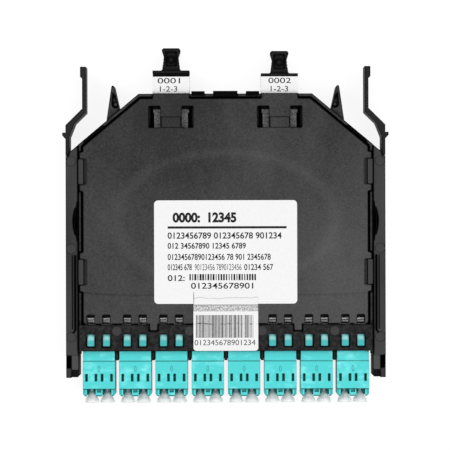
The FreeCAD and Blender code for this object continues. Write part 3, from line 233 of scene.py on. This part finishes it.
def cover_plastic():
    """Matt cover: fine grain, cloudy flow, a faint oval round the middle and a dark line near the front, with
    painted shade in the rear notches, on upright sides and in gaps, and a lighter painted shade in the hook
    recesses.
    """
    finish, tree, shader, where = new_finish("cover_plastic", 0.55, 0.05)
    across, back, _ = axes(tree, where)
    cloud = noise(tree, stretched(tree, where, (1.0, 0.5, 1.0), 0.35), 24 * MM, 4.0, 0.55)
    fine = grained(tree, where, 0.75 * MM)
    wide = sums(tree, "POWER", sums(tree, "DIVIDE", across, OVAL_WIDTH), 2.0)
    from_middle = sums(tree, "SUBTRACT", back, OVAL_MIDDLE)
    deep = sums(tree, "POWER", sums(tree, "DIVIDE", from_middle, OVAL_DEPTH), 2.0)
    oval = ridge(tree, sums(tree, "SQRT", sums(tree, "ADD", wide, deep)), 1.0, 0.1)
    bent = sums(tree, "POWER", sums(tree, "DIVIDE", across, WALL_SIDE), 8.0)
    bent = sums(tree, "MULTIPLY", bent, -1.5 * MM)
    step = ridge(tree, sums(tree, "ADD", back, bent), STEP_LINE, 0.7 * MM)
    amount = sums(tree, "ADD", spread(tree, cloud, 0.32, 0.68, 0.0, 0.4), sums(tree, "MULTIPLY", fine, 0.6))
    amount = sums(tree, "ADD", amount, sums(tree, "MULTIPLY", oval, 0.2))
    amount = sums(tree, "SUBTRACT", amount, sums(tree, "MULTIPLY", step, 0.25))
    amount = sums(tree, "ADD", amount, spread(tree, across, -WALL_SIDE, WALL_SIDE, -0.12, 0.14))
    amount = sums(tree, "SUBTRACT", amount, spread(tree, back, at(48.0), at(95.0), 0.0, 0.42))
    matt = tint(tree, amount, grey(0.028), grey(0.090))
    # painted shade: the rear notches are painted black
    notches = rear_notches(tree, across, back, 1.95 * MM, 0.0)
    # painted shade in the hook recesses, lighter than elsewhere
    recesses = sums(tree, "MULTIPLY", beside_hooks(tree, back),
                    band(tree, sums(tree, "ABSOLUTE", across), HOOK_EDGE - 0.85 * MM, 0.6 * MM))
    shade = tint(tree, recesses, PAINTED_SHADE_BLACK, grey(0.045))
    coloured(tree, shader, tint(tree, notches, matt, PAINTED_SHADE_BLACK), shade)
    bumped(tree, shader, sums(tree, "ADD", fine, sums(tree, "MULTIPLY", cloud, 8.0)), 0.02 * MM)
    return finish


def nose_recesses(tree, outward, back):
    """1 on the falling inner half and in the outer half's well of a rail's nose, and 0 elsewhere."""
    fall = sums(tree, "MULTIPLY", sums(tree, "LESS_THAN", outward, NOSE_SPLIT),
                sums(tree, "LESS_THAN", back, NOSE_FALL))
    well = sums(tree, "MULTIPLY", sums(tree, "GREATER_THAN", outward, NOSE_SPLIT),
                band(tree, back, WELL_MIDDLE, WELL_HALF))
    return sums(tree, "MAXIMUM", fall, well)


def tray_plastic():
    """Darker tray: mottled polish on the strip and walls, matt rails, smooth ejector marks, and painted
    shade: black on the noses' falling halves and wells, along the hooks' sunk edges, in the rear notches, on
    upright sides and in gaps.
    """
    finish, tree, shader, where = new_finish("tray_plastic", 0.5, 0.04)
    across, back, up = axes(tree, where)
    outward = sums(tree, "ABSOLUTE", across)
    rails = spread(tree, outward, WALL_SIDE + 0.4 * MM, WALL_SIDE + 0.6 * MM)
    mottle = spread(tree, noise(tree, where, 1.6 * MM, 4.0, 0.7), 0.36, 0.66)
    cloud = noise(tree, stretched(tree, where, (1.0, 0.3, 1.0)), 14 * MM, 3.0)
    fine = grained(tree, where, 0.45 * MM)
    strip = tint(tree, mottle, grey(0.008), grey(0.034))
    walls = tint(tree, mottle, grey(0.028), grey(0.060))
    polished = tint(tree, sums(tree, "GREATER_THAN", back, STRIP_REAR), strip, walls)
    uneven = sums(tree, "ADD", spread(tree, cloud, 0.3, 0.7, 0.0, 0.7), sums(tree, "MULTIPLY", fine, 0.3))
    behind_nose = sums(tree, "GREATER_THAN", back, NOSE_REAR)
    matt = tint(tree, behind_nose, grey(0.036), tint(tree, uneven, grey(0.028), grey(0.066)))
    base = tint(tree, rails, polished, matt)
    heads = sums(tree, "MULTIPLY", beside_hooks(tree, back), sums(tree, "SUBTRACT", 1.0, rails))
    base = tint(tree, heads, base, grey(0.050))
    # painted shade: black along the hooks' sunk inner edges, on the rails' falling nose halves and wells, and
    # in the rear notches
    hook_edge_shade = sums(tree, "MULTIPLY", sums(tree, "LESS_THAN", outward, HOOK_EDGE),
                      band(tree, back, at(55.0), 35.0 * MM))
    nose = sums(tree, "MULTIPLY", rails, nose_recesses(tree, outward, back))
    black = sums(tree, "MAXIMUM", sums(tree, "MAXIMUM", nose, hook_edge_shade),
                 rear_notches(tree, across, back, 1.4 * MM, 1.0 * MM))
    base = tint(tree, black, base, PAINTED_SHADE_BLACK)
    rail_marks = band(tree, up, RAIL_TOP - MARK_DEPTH, 0.03 * MM)
    base = tint(tree, rail_marks, base, tint(tree, behind_nose, grey(0.070), grey(0.050)))
    strip_marks = band(tree, up, COVER_TOP - MARK_DEPTH, 0.03 * MM)
    # painted shade on upright sides and in gaps
    coloured(tree, shader, tint(tree, strip_marks, base, grey(0.048)), PAINTED_SHADE_BLACK)
    bumped(tree, shader, sums(tree, "ADD", fine, mottle), 0.03 * MM)
    return finish


def dark_plastic(name, dark, light):
    """Plain black moulding with a fine grain and faint flow marks, and painted shade on upright sides, in
    gaps and along rims.
    """
    finish, tree, shader, where = new_finish(name, 0.5, 0.05)
    cloud = noise(tree, stretched(tree, where, (1.0, 0.5, 1.0), 0.5), 8 * MM, 3.0)
    fine = grained(tree, where, 0.5 * MM)
    amount = sums(tree, "MULTIPLY", sums(tree, "ADD", cloud, fine), 0.5)
    coloured(tree, shader, tint(tree, amount, grey(dark), grey(light)), PAINTED_SHADE_BLACK)
    bumped(tree, shader, fine, 0.03 * MM)
    return finish


def adapter_plastic():
    """Aqua plastic with the cloudy lighter streaks of its flow, a painted highlight on the catch ramps, and
    painted shade under the strip, on the outer port pillars, along their step and end faces, on sides and in
    gaps.
    """
    finish, tree, shader, where = new_finish("aqua_plastic", 0.42, 0.3)
    across, back, _ = axes(tree, where)
    cloud = noise(tree, stretched(tree, where, (1.0, 0.5, 1.0), 0.5), 6.5 * MM, 5.0, 0.62)
    streak = noise(tree, stretched(tree, where, (1.0, 2.4, 1.0), -0.35), 5.0 * MM, 4.0, 0.6)
    pale = spread(tree, sums(tree, "MULTIPLY", cloud, streak), 0.25, 0.42)
    body = tint(tree, pale, (0.080, 0.640, 0.640), (0.20, 0.82, 0.82))
    # painted shade: the parts under the tray's strip are darker
    under_strip = sums(tree, "GREATER_THAN", back, at(0.0))
    body = tint(tree, sums(tree, "MULTIPLY", under_strip, 0.7), body, (0.045, 0.36, 0.36))
    # painted highlight: the catch ramps behind the crest are pale
    ramp = tint(tree, cloud, (0.06, 0.72, 0.72), (0.62, 1.0, 1.0))
    body = tint(tree, sums(tree, "GREATER_THAN", back, CATCH_CREST), body, ramp)
    shifted = sums(tree, "SUBTRACT", across, FIRST_ADAPTER - ADAPTER_PITCH / 2)
    place = sums(tree, "FLOORED_MODULO", shifted, ADAPTER_PITCH)
    place = sums(tree, "ABSOLUTE", sums(tree, "SUBTRACT", place, ADAPTER_PITCH / 2))
    # painted shade: the outer parts of the port pillars are darker
    pillars = sums(tree, "LESS_THAN", back, PILLARS_REAR)
    outer = sums(tree, "MULTIPLY", pillars, sums(tree, "GREATER_THAN", place, 5.5 * MM))
    body = tint(tree, outer, body, (0.045, 0.42, 0.42))
    # painted shade: a dark line at the pillars' rear step and on their end faces
    lines = sums(tree, "MAXIMUM", band(tree, back, PILLARS_REAR - 0.05 * MM, 0.22 * MM),
                 sums(tree, "LESS_THAN", back, PILLARS_FRONT))
    body = tint(tree, lines, body, (0.020, 0.17, 0.16))
    # painted shade colours: lighter among the pillars, near black under the strip
    shade = tint(tree, pillars, (0.025, 0.22, 0.21), (0.060, 0.46, 0.45))
    shade = tint(tree, under_strip, shade, (0.001, 0.012, 0.012))
    coloured(tree, shader, body, shade, 0.3, 0.8, 0.3 * MM)
    bumped(tree, shader, noise(tree, where, 0.9 * MM, 2.0, 0.6), 0.02 * MM)
    return finish


def milky_plastic():
    """Milky soft plastic of the dust plugs."""
    finish, tree, shader, where = new_finish("milky_plastic", 0.35, 0.4)
    cloud = noise(tree, where, 2.2 * MM, 2.0)
    coloured(tree, shader, tint(tree, cloud, (0.96, 0.97, 0.96), (1.0, 1.0, 1.0)))
    shader.inputs["Subsurface Weight"].default_value = 0.8
    shader.inputs["Subsurface Radius"].default_value = (1.0, 1.0, 1.0)
    shader.inputs["Subsurface Scale"].default_value = 2.0 * MM
    bumped(tree, shader, noise(tree, where, 1.4 * MM, 1.0), 0.02 * MM)
    return finish


def label_paper(name, low, high):
    """Coated label paper: faint fibres and a slow waviness."""
    finish, tree, shader, where = new_finish(name, 0.55, 0.3)
    fibre = noise(tree, stretched(tree, where, (1.0, 0.4, 1.0)), 0.7 * MM, 4.0, 0.7)
    coloured(tree, shader, tint(tree, spread(tree, fibre, 0.3, 0.7), grey(low), grey(high)))
    height = sums(tree, "ADD", fibre, sums(tree, "MULTIPLY", noise(tree, where, 9 * MM, 2.0), 3.0))
    bumped(tree, shader, height, 0.015 * MM)
    return finish


def seal_paper():
    """White seal with a speckled strip where its print has worn, a fold and a crease, with painted shade
    along the fold, the crease, its left edge and the main label's end beneath it.
    """
    finish, tree, shader, where = new_finish("seal_paper", 0.5, 0.3)
    across, back, _ = axes(tree, where)
    fibre = noise(tree, where, 0.7 * MM, 4.0, 0.7)
    white = tint(tree, spread(tree, fibre, 0.3, 0.7), grey(0.78), grey(0.85))
    speckle = spread(tree, noise(tree, where, 0.55 * MM, 3.0, 0.8), 0.38, 0.62)
    worn = band(tree, back, at(16.7), 1.25 * MM)
    marked = tint(tree, sums(tree, "MULTIPLY", worn, speckle), white, grey(0.16))
    wave = noise(tree, stretched(tree, where, (1.0, 0.05, 1.0)), 5 * MM, 2.0)
    wave = sums(tree, "MULTIPLY", wave, 3.5 * MM)
    # painted shade along the crease
    crease = band(tree, sums(tree, "SUBTRACT", back, wave), at(18.9), 0.1 * MM)
    marked = tint(tree, sums(tree, "MULTIPLY", crease, 0.8), marked, grey(0.35))
    # painted shadow along the main label's end beneath the seal
    label_end = sums(tree, "MULTIPLY", band(tree, back, LABEL_END, 0.16 * MM), 0.75)
    blotches = noise(tree, stretched(tree, where, (1.0, 0.4, 1.0)), 3 * MM, 3.0, 0.7)
    blotches = spread(tree, blotches, 0.4, 0.55)
    # painted shade along the fold, broken up by blotches
    bent = sums(tree, "SUBTRACT", back, sums(tree, "MULTIPLY", wave, 0.5))
    fold = sums(tree, "MULTIPLY", band(tree, bent, at(9.5), 0.2 * MM), blotches)
    over_label = sums(tree, "GREATER_THAN", back, at(18.0))
    # painted shadow along the seal's left edge where it lies on the main label
    edge = sums(tree, "MULTIPLY", band(tree, across, SEAL_LEFT + 0.1 * MM, 0.16 * MM), blotches)
    edge = sums(tree, "MULTIPLY", edge, over_label)
    # the painted shade and shadow lines darken the paper
    for line in (label_end, fold, edge):
        marked = tint(tree, line, marked, grey(0.10))
    coloured(tree, shader, marked)
    bumped(tree, shader, sums(tree, "ADD", fibre, crease), 0.02 * MM)
    return finish


def ink(name, colour, faded):
    """Printed black that breaks up slightly where the paper shows through."""
    finish, tree, shader, where = new_finish(name, 0.5, 0.3)
    worn = noise(tree, where, 0.45 * MM, 3.0, 0.7)
    coloured(tree, shader, tint(tree, spread(tree, worn, 0.5, 0.85), grey(colour), grey(faded)))
    return finish


def small_moulding(name, low, high, roughness, size=1.5 * MM, shine=0.4):
    """Small inner pieces: a slightly uneven colour and surface."""
    finish, tree, shader, where = new_finish(name, roughness, shine)
    uneven = noise(tree, where, size, 3.0, 0.6)
    coloured(tree, shader, tint(tree, uneven, low, high))
    bumped(tree, shader, noise(tree, where, 0.4 * MM, 2.0), 0.02 * MM)
    return finish


def plug_plastic():
    """Pale single plugs with painted shade along the step in the latch, and black boots."""
    finish, tree, shader, where = new_finish("inner_plug_plastic", 0.4, 0.4)
    back = axes(tree, where)[1]
    uneven = noise(tree, where, 1.5 * MM, 3.0, 0.6)
    pale = tint(tree, uneven, grey(0.92), grey(1.0))
    # dark is the black boots, and painted shade along the step in the latch
    dark = sums(tree, "MAXIMUM", sums(tree, "GREATER_THAN", back, BOOT_START),
                band(tree, back, LATCH_STEP, 0.15 * MM))
    coloured(tree, shader, tint(tree, dark, pale, grey(0.004)))
    bumped(tree, shader, uneven, 0.02 * MM)
    return finish


def collar_plastic():
    """Dark collar with a coarse, bright-flecked grip texture."""
    finish, tree, shader, where = new_finish("collar_plastic", 0.5, 0.3)
    fleck = noise(tree, where, 0.6 * MM, 4.0, 0.85)
    coloured(tree, shader, tint(tree, spread(tree, fleck, 0.38, 0.64), grey(0.02), grey(0.20)))
    bumped(tree, shader, fleck, 0.1 * MM)
    return finish


COVER = cover_plastic()
TRAY = tray_plastic()
ARM = dark_plastic("arm_plastic", 0.008, 0.032)
CAP = dark_plastic("cap_plastic", 0.004, 0.024)
PORT = dark_plastic("port_plastic", 0.001, 0.006)
AQUA = adapter_plastic()
# dark teal of the painted shade in the mould figures
AQUA_SHADE = small_moulding("aqua_painted_shade", (0.02, 0.22, 0.22), (0.03, 0.30, 0.30), 0.5)
MILKY = milky_plastic()
PAPER = label_paper("label_paper", 0.80, 0.85)
SEAL = seal_paper()
INK = ink("printed_black", 0.002, 0.03)
GREY_INK = ink("printed_grey", 0.02, 0.20)
INNER = plug_plastic()
CERAMIC = small_moulding("sleeve_ceramic", (0.80, 0.80, 0.78), (0.88, 0.88, 0.86), 0.12)
COLLAR = collar_plastic()
LEAD = small_moulding("lead_jacket", (0.08, 0.60, 0.58), (0.12, 0.72, 0.70), 0.4)


# ------------------------------------------------------------------------------------------ mesh helpers
def shown(name, mesh, material, body):
    """A finished piece of the object that rides on a body."""
    piece = bpy.data.objects.new(name, mesh)
    bpy.context.scene.collection.objects.link(piece)
    mesh.materials.clear()
    mesh.materials.append(material)
    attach(piece, body)
    return piece


def settled(piece):
    """The mesh of a piece with its modifiers applied."""
    graph = bpy.context.evaluated_depsgraph_get()
    return bpy.data.meshes.new_from_object(piece.evaluated_get(graph))


def smooth_but_flat_sided(mesh, name):
    """Smooth shading that leaves broad faces flat and keeps sharp inner corners."""
    for face in mesh.polygons:
        face.use_smooth = True
    mesh.set_sharp_from_angle(angle=math.radians(50))
    helper = bpy.data.objects.new(name, mesh)
    bpy.context.scene.collection.objects.link(helper)
    helper.modifiers.new("weigh", "WEIGHTED_NORMAL").keep_sharp = True
    finished = settled(helper)
    bpy.data.objects.remove(helper)
    return finished


def broken_edges(node, width):
    """The node's shape with its outer edges rounded, as moulding leaves them."""
    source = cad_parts[node].data
    bm = bmesh.new()
    verts = [bm.verts.new(v.co) for v in source.vertices]
    for polygon in source.polygons:
        bm.faces.new([verts[i] for i in polygon.vertices])
    bmesh.ops.remove_doubles(bm, verts=bm.verts, dist=0.002 * MM)
    bmesh.ops.dissolve_limit(bm, angle_limit=math.radians(1), verts=bm.verts, edges=bm.edges)
    chosen = [edge for edge in bm.edges if len(edge.link_faces) == 2 and edge.is_convex
              and edge.calc_face_angle() > math.radians(28) and edge.calc_length() > 3 * width]
    bmesh.ops.bevel(bm, geom=chosen, offset=width, offset_type="OFFSET", segments=2, profile=0.5,
                    affect="EDGES", clamp_overlap=True)
    mesh = bpy.data.meshes.new(node)
    bm.to_mesh(mesh)
    bm.free()
    return smooth_but_flat_sided(mesh, node)


def dressed(node, material, body, width):
    """A piece that shows the node's shape with its edges rounded."""
    piece = shown(f"{node}_moulding", broken_edges(node, width), material, body)
    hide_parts(node)
    return piece


def turned(profile, sides=48):
    """A closed round piece about the y axis, from points (y, radius) in millimetres."""
    bm = bmesh.new()
    rings = []
    for y, radius in profile:
        ring = []
        for step in range(sides if radius > 0 else 1):
            angle = 2 * math.pi * step / sides
            ring.append(bm.verts.new((radius * MM * math.cos(angle), y * MM, radius * MM * math.sin(angle))))
        rings.append(ring)
    for ring, following in zip(rings, rings[1:]):
        for step in range(sides):
            a, b = ring[step % len(ring)], ring[(step + 1) % len(ring)]
            c, d = following[(step + 1) % len(following)], following[step % len(following)]
            corners = list(dict.fromkeys((a, b, c, d)))
            bm.faces.new(corners)
    bmesh.ops.recalc_face_normals(bm, faces=bm.faces)
    mesh = bpy.data.meshes.new("turned")
    bm.to_mesh(mesh)
    bm.free()
    return mesh


# ------------------------------------------------------------------------------------------ mouldings
def mouldings():
    """The plastic pieces that keep their solids' shape."""
    dressed("tray", TRAY, "case", 0.22 * MM)
    dressed("cover", COVER, "case", 0.2 * MM)
    for side in ("left", "right"):
        dressed(f"{side}_latch_arm", ARM, f"{side}_latch_arm", 0.2 * MM)
    for number in range(1, ADAPTERS + 1):
        dressed(f"lc_adapter_{number}", AQUA, "case", 0.1 * MM)
    for number in (1, 2):
        dressed(f"mpo_adapter_{number}", PORT, "case", 0.12 * MM)
        dressed(f"mpo_dust_cap_{number}", CAP, f"mpo_dust_cap_{number}", 0.15 * MM)


PLUG_PROFILE = ((17.4, 0.0), (17.4, 0.45), (17.2, 0.58), (5.9, 0.6), (5.0, 0.62), (4.6, 0.7), (4.27, 0.88),
                (3.95, 1.1), (3.67, 1.28), (3.08, 1.6), (2.49, 1.86), (2.2, 2.0), (2.05, 2.14), (1.9, 2.26),
                (1.3, 2.6), (0.8, 2.85), (0.45, 2.9), (0.12, 2.88), (0.0, 2.8), (0.02, 2.5), (0.5, 1.9),
                (0.9, 1.0), (1.0, 0.0))


def dust_plugs():
    """A bell-shaped plug in each duplex port."""
    for number in range(1, 2 * ADAPTERS + 1):
        node = f"lc_dust_plug_{number}"
        low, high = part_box(node)
        mesh = turned(PLUG_PROFILE)
        mesh.transform(Matrix.Translation(((low.x + high.x) / 2, low.y, (low.z + high.z) / 2)))
        for face in mesh.polygons:
            face.use_smooth = True
        piece = shown(f"{node}_bell", mesh, MILKY, node)
        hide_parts(node)


def carried_over():
    """Finishes for the solids that are shown as they are."""
    finishes = {"inner_lc": INNER, "alignment": CERAMIC, "inner_mpo": COLLAR, "fanout": TRAY, "fibre": LEAD,
                "main_label": PAPER, "seal_label": SEAL, "mpo_label": PAPER}
    for name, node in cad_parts.items():
        for start, finish in finishes.items():
            if name.startswith(start):
                for place in node.material_slots:
                    place.material = finish


# ------------------------------------------------------------------------------------------ print
def stroke_tree():
    """A row of upright strokes: how many, how far apart, how wide and how tall."""
    tree = bpy.data.node_groups.new("row_of_strokes", "GeometryNodeTree")
    tree.interface.new_socket("Geometry", in_out="OUTPUT", socket_type="NodeSocketGeometry")
    kinds = {"Count": "NodeSocketInt", "Seed": "NodeSocketInt", "Pitch": "NodeSocketFloat",
             "Narrow": "NodeSocketFloat", "Wide": "NodeSocketFloat", "Tall": "NodeSocketFloat",
             "Thick": "NodeSocketFloat", "Ink": "NodeSocketMaterial"}
    sockets = {name: tree.interface.new_socket(name, in_out="INPUT", socket_type=kind).identifier
               for name, kind in kinds.items()}
    given = add(tree, "NodeGroupInput").outputs
    step = add(tree, "ShaderNodeCombineXYZ", {"X": given["Pitch"]})
    row = add(tree, "GeometryNodeMeshLine", {"Count": given["Count"], "Offset": step.outputs[0]})

    width = tree.nodes.new("FunctionNodeRandomValue")
    width.data_type = "FLOAT"
    tree.links.new(given["Narrow"], width.inputs[2])
    tree.links.new(given["Wide"], width.inputs[3])
    tree.links.new(given["Seed"], width.inputs["Seed"])
    size = add(tree, "ShaderNodeCombineXYZ", {"X": width.outputs[1], "Y": given["Tall"], "Z": given["Thick"]})
    cube = add(tree, "GeometryNodeMeshCube", {"Size": (1.0, 1.0, 1.0)})
    strokes = add(tree, "GeometryNodeInstanceOnPoints",
                  {"Points": row.outputs[0], "Instance": cube.outputs[0], "Scale": size.outputs[0]})
    real = add(tree, "GeometryNodeRealizeInstances", {"Geometry": strokes.outputs[0]})
    inked = add(tree, "GeometryNodeSetMaterial", {"Geometry": real.outputs[0], "Material": given["Ink"]})
    output = add(tree, "NodeGroupOutput")
    tree.links.new(inked.outputs[0], output.inputs[0])
    return tree, sockets


STROKES, STROKE_SOCKETS = stroke_tree()


def printed_row(left, right, foot, head, level, pitch, narrow, wide, seed):
    """Mesh of one row of strokes between two x and two y positions, in metres."""
    carrier = bpy.data.objects.new("row", bpy.data.meshes.new("row"))
    bpy.context.scene.collection.objects.link(carrier)
    modifier = carrier.modifiers.new("strokes", "NODES")
    modifier.node_group = STROKES
    settings = {"Count": max(1, round((right - left) / pitch)), "Seed": seed, "Pitch": pitch,
                "Narrow": narrow, "Wide": wide, "Tall": head - foot, "Thick": INK_DEPTH, "Ink": INK}
    for name, given in settings.items():
        modifier[STROKE_SOCKETS[name]] = given
    mesh = settled(carrier)
    bpy.data.objects.remove(carrier)
    mesh.transform(Matrix.Translation((left + pitch / 2, (foot + head) / 2, level)))
    return mesh


def numerals(figures, left, right, foot, head, level, weight=0.0):
    """Plain figures as a thin mesh that fills the space given, with their outlines moved out by weight."""
    curve = bpy.data.curves.new("figures", "FONT")
    curve.body = figures
    curve.offset = weight
    holder = bpy.data.objects.new("figures", curve)
    bpy.context.scene.collection.objects.link(holder)
    mesh = settled(holder)
    bpy.data.objects.remove(holder)
    xs = [vertex.co.x for vertex in mesh.vertices]
    ys = [vertex.co.y for vertex in mesh.vertices]
    width, height = (right - left) / (max(xs) - min(xs)), (head - foot) / (max(ys) - min(ys))
    mesh.transform(Matrix.Translation((left - min(xs) * width, foot - min(ys) * height, level))
                   @ Matrix.Diagonal((width, height, 1.0, 1.0)))
    return thickened(mesh)


def thickened(mesh):
    """Gives a flat mesh the depth of the ink, as a closed body."""
    bm = bmesh.new()
    bm.from_mesh(mesh)
    bmesh.ops.remove_doubles(bm, verts=bm.verts, dist=0.0001 * MM)
    grown = bmesh.ops.extrude_face_region(bm, geom=bm.faces[:])["geom"]
    raised = [part for part in grown if isinstance(part, bmesh.types.BMVert)]
    bmesh.ops.translate(bm, verts=raised, vec=(0.0, 0.0, INK_DEPTH / 2))
    bmesh.ops.recalc_face_normals(bm, faces=bm.faces)
    solid = bpy.data.meshes.new("figures")
    bm.to_mesh(solid)
    bm.free()
    return solid


def joined(meshes):
    """One mesh made of several."""
    bm = bmesh.new()
    for mesh in meshes:
        bm.from_mesh(mesh)
    result = bpy.data.meshes.new("joined")
    bm.to_mesh(result)
    bm.free()
    return result


def main_print():
    """Heading, rule, four lines, a short word, bars and figures, all of plain numbers."""
    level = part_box("main_label")[1].z + INK_DEPTH / 2
    left, right = -23.2 * MM, 24.4 * MM
    rule = right - left
    rows = [numerals("0000:", -21.2 * MM, -10.2 * MM, at(51.0), at(55.0), level, 0.045),
            numerals("12345", -6.9 * MM, 4.3 * MM, at(51.0), at(55.1), level, 0.045),
            printed_row(left, right, at(48.6), at(49.5), level, rule, rule, rule, 1),
            numerals("0123456789 012345678 901234", left, 22.4 * MM, at(44.5), at(47.1), level, 0.018),
            numerals("012 34567890 12345 6789", left, 8.1 * MM, at(40.5), at(42.9), level, 0.019),
            numerals("01234567890123456 78 901 2345678", left, 18 * MM, at(36.0), at(38.5), level, 0.016),
            numerals("012345 678", left, -13.6 * MM, at(31.9), at(34.4), level, 0.016),
            numerals("01234 567", 7.4 * MM, 19 * MM, at(31.9), at(34.4), level, 0.016),
            numerals("012:", left, -16.4 * MM, at(27.6), at(30.0), level, 0.016),
            printed_row(-14.75 * MM, 11.85 * MM, at(27.9), at(30.4), level,
                        1.04 * MM, 0.28 * MM, 0.82 * MM, 41),
            numerals("012345678901", -13.9 * MM, 11.0 * MM, at(24.5), at(26.9), level, 0.012)]
    shown("main_label_print", joined(rows), INK, "case")
    faded = numerals("90123456 7890123456", -12.4 * MM, 6.3 * MM, at(31.9), at(34.4), level)
    shown("main_label_faded_print", faded, GREY_INK, "case")


def seal_print():
    """Bars over a row of figures."""
    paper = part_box("seal_label")[1].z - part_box("main_label")[1].z
    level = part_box("cover")[1].z + paper + INK_DEPTH / 2
    bars = printed_row(-12.06 * MM, 11.1 * MM, at(4.9), at(14.0), level, 0.58 * MM, 0.12 * MM, 0.46 * MM, 61)
    figures = numerals("012345678901234", -12.5 * MM, 11.8 * MM, at(1.9), at(4.1), level)
    shown("seal_label_print", joined([bars, figures]), GREY_INK, "case")


def port_print():
    """Two rows of plain numbers on each multi-fibre port, the first ending in the port's own."""
    for number, middle in ((1, -22.6 * MM), (2, 21.8 * MM)):
        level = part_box(f"mpo_label_{number}")[1].z + INK_DEPTH / 2
        wide, left, right = 4.5 * MM, 3.6 * MM, 3.4 * MM
        rows = [numerals(f"000{number}", middle - wide, middle + wide, at(106.8), at(109.0), level, 0.004),
                numerals("1-2-3", middle - left, middle + right, at(103.5), at(105.7), level, 0.004)]
        shown(f"mpo_label_{number}_print", joined(rows), INK, "case")


def cavity_marks():
    """The figure that the mould leaves on each adapter's roof, drawn as a thin dark sheet of painted shade.
    """
    half = 0.5 * MM
    level = ROOF_TOP + INK_DEPTH / 2
    for number in range(1, ADAPTERS + 1):
        low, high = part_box(f"lc_adapter_{number}")
        middle = (low.x + high.x) / 2
        mark = numerals("0", middle - half, middle + half, at(-8.7), at(-6.4), level, -0.01)
        shown(f"lc_adapter_{number}_mark", mark, AQUA_SHADE, "case")


# ------------------------------------------------------------------------------------------ surroundings
def floor():
    """A pale floor that looks white to the camera."""
    finish = bpy.data.materials.new("pale_floor")
    finish.use_nodes = True
    tree = finish.node_tree
    tree.nodes.clear()
    diffuse = add(tree, "ShaderNodeBsdfDiffuse", {"Color": (*grey(0.20), 1.0)})
    rays = add(tree, "ShaderNodeLightPath").outputs
    seen = sums(tree, "MAXIMUM", rays["Is Camera Ray"], rays["Is Glossy Ray"])
    glow = add(tree, "ShaderNodeEmission", {"Color": (1.0, 1.0, 1.0, 1.0),
                                            "Strength": sums(tree, "MULTIPLY", seen, 0.86)})
    both = add(tree, "ShaderNodeAddShader", {0: diffuse.outputs[0], 1: glow.outputs[0]})
    add(tree, "ShaderNodeOutputMaterial", {"Surface": both.outputs[0]})
    size = 3.0
    level = cad_box[0].z - 0.05 * MM
    mesh = bpy.data.meshes.new("floor")
    corners = [(-size, -size, level), (size, -size, level), (size, size, level), (-size, size, level)]
    mesh.from_pydata(corners, [], [(0, 1, 2, 3)])
    mesh.materials.append(finish)
    plane = bpy.data.objects.new("floor", mesh)
    bpy.context.scene.collection.objects.link(plane)


def studio_light():
    """A light tent: bright all round above, dark along the ground and dim in the opening straight above."""
    world = bpy.data.worlds.new("studio")
    bpy.context.scene.world = world
    world.use_nodes = True
    tree = world.node_tree
    tree.nodes.clear()
    height = axes(tree, add(tree, "ShaderNodeTexCoord").outputs["Generated"])[2]
    tent = add(tree, "ShaderNodeValToRGB", {"Fac": height})
    ramp = tent.color_ramp
    ramp.elements[0].position, ramp.elements[0].color = 0.0, (*grey(0.05), 1.0)
    ramp.elements[1].position, ramp.elements[1].color = 1.0, (*grey(0.35), 1.0)
    for place, level in ((0.2, 0.12), (0.45, 1.0), (0.85, 1.0), (0.95, 0.45)):
        stop = ramp.elements.new(place)
        stop.color = (*grey(level), 1.0)
    seen = add(tree, "ShaderNodeLightPath").outputs["Is Camera Ray"]
    colour = tint(tree, seen, tent.outputs["Color"], grey(1.0))
    strength = spread(tree, seen, 0.0, 1.0, 1.05, 1.0)
    background = add(tree, "ShaderNodeBackground", {"Color": colour, "Strength": strength})
    add(tree, "ShaderNodeOutputWorld", {"Surface": background.outputs[0]})


def lamp(name, place, size, power):
    """A square lamp that faces the origin."""
    light = bpy.data.lights.new(name, "AREA")
    light.size = size
    light.energy = power
    holder = bpy.data.objects.new(name, light)
    bpy.context.scene.collection.objects.link(holder)
    holder.location = place
    holder.rotation_mode = "QUATERNION"
    holder.rotation_quaternion = (-Vector(place)).to_track_quat("-Z", "Y")


def camera():
    """A long lens straight above."""
    lens = bpy.data.cameras.new("camera")
    lens.lens = 150.0
    lens.sensor_width = 36.0
    lens.clip_start = 0.01
    view = bpy.data.objects.new("camera", lens)
    bpy.context.scene.collection.objects.link(view)
    view.location = CAMERA_PLACE
    view.rotation_euler = (0.0, 0.0, math.radians(CAMERA_ROLL))
    bpy.context.scene.camera = view


camera()
mouldings()
dust_plugs()
carried_over()
main_print()
seal_print()
port_print()
cavity_marks()
floor()
studio_light()
lamp("right_lamp", (0.75, -0.35, 0.80), 0.5, 3.5)
lamp("left_lamp", (-0.70, 0.30, 0.85), 0.6, 2.0)
bpy.context.scene.view_settings.view_transform = "Standard"
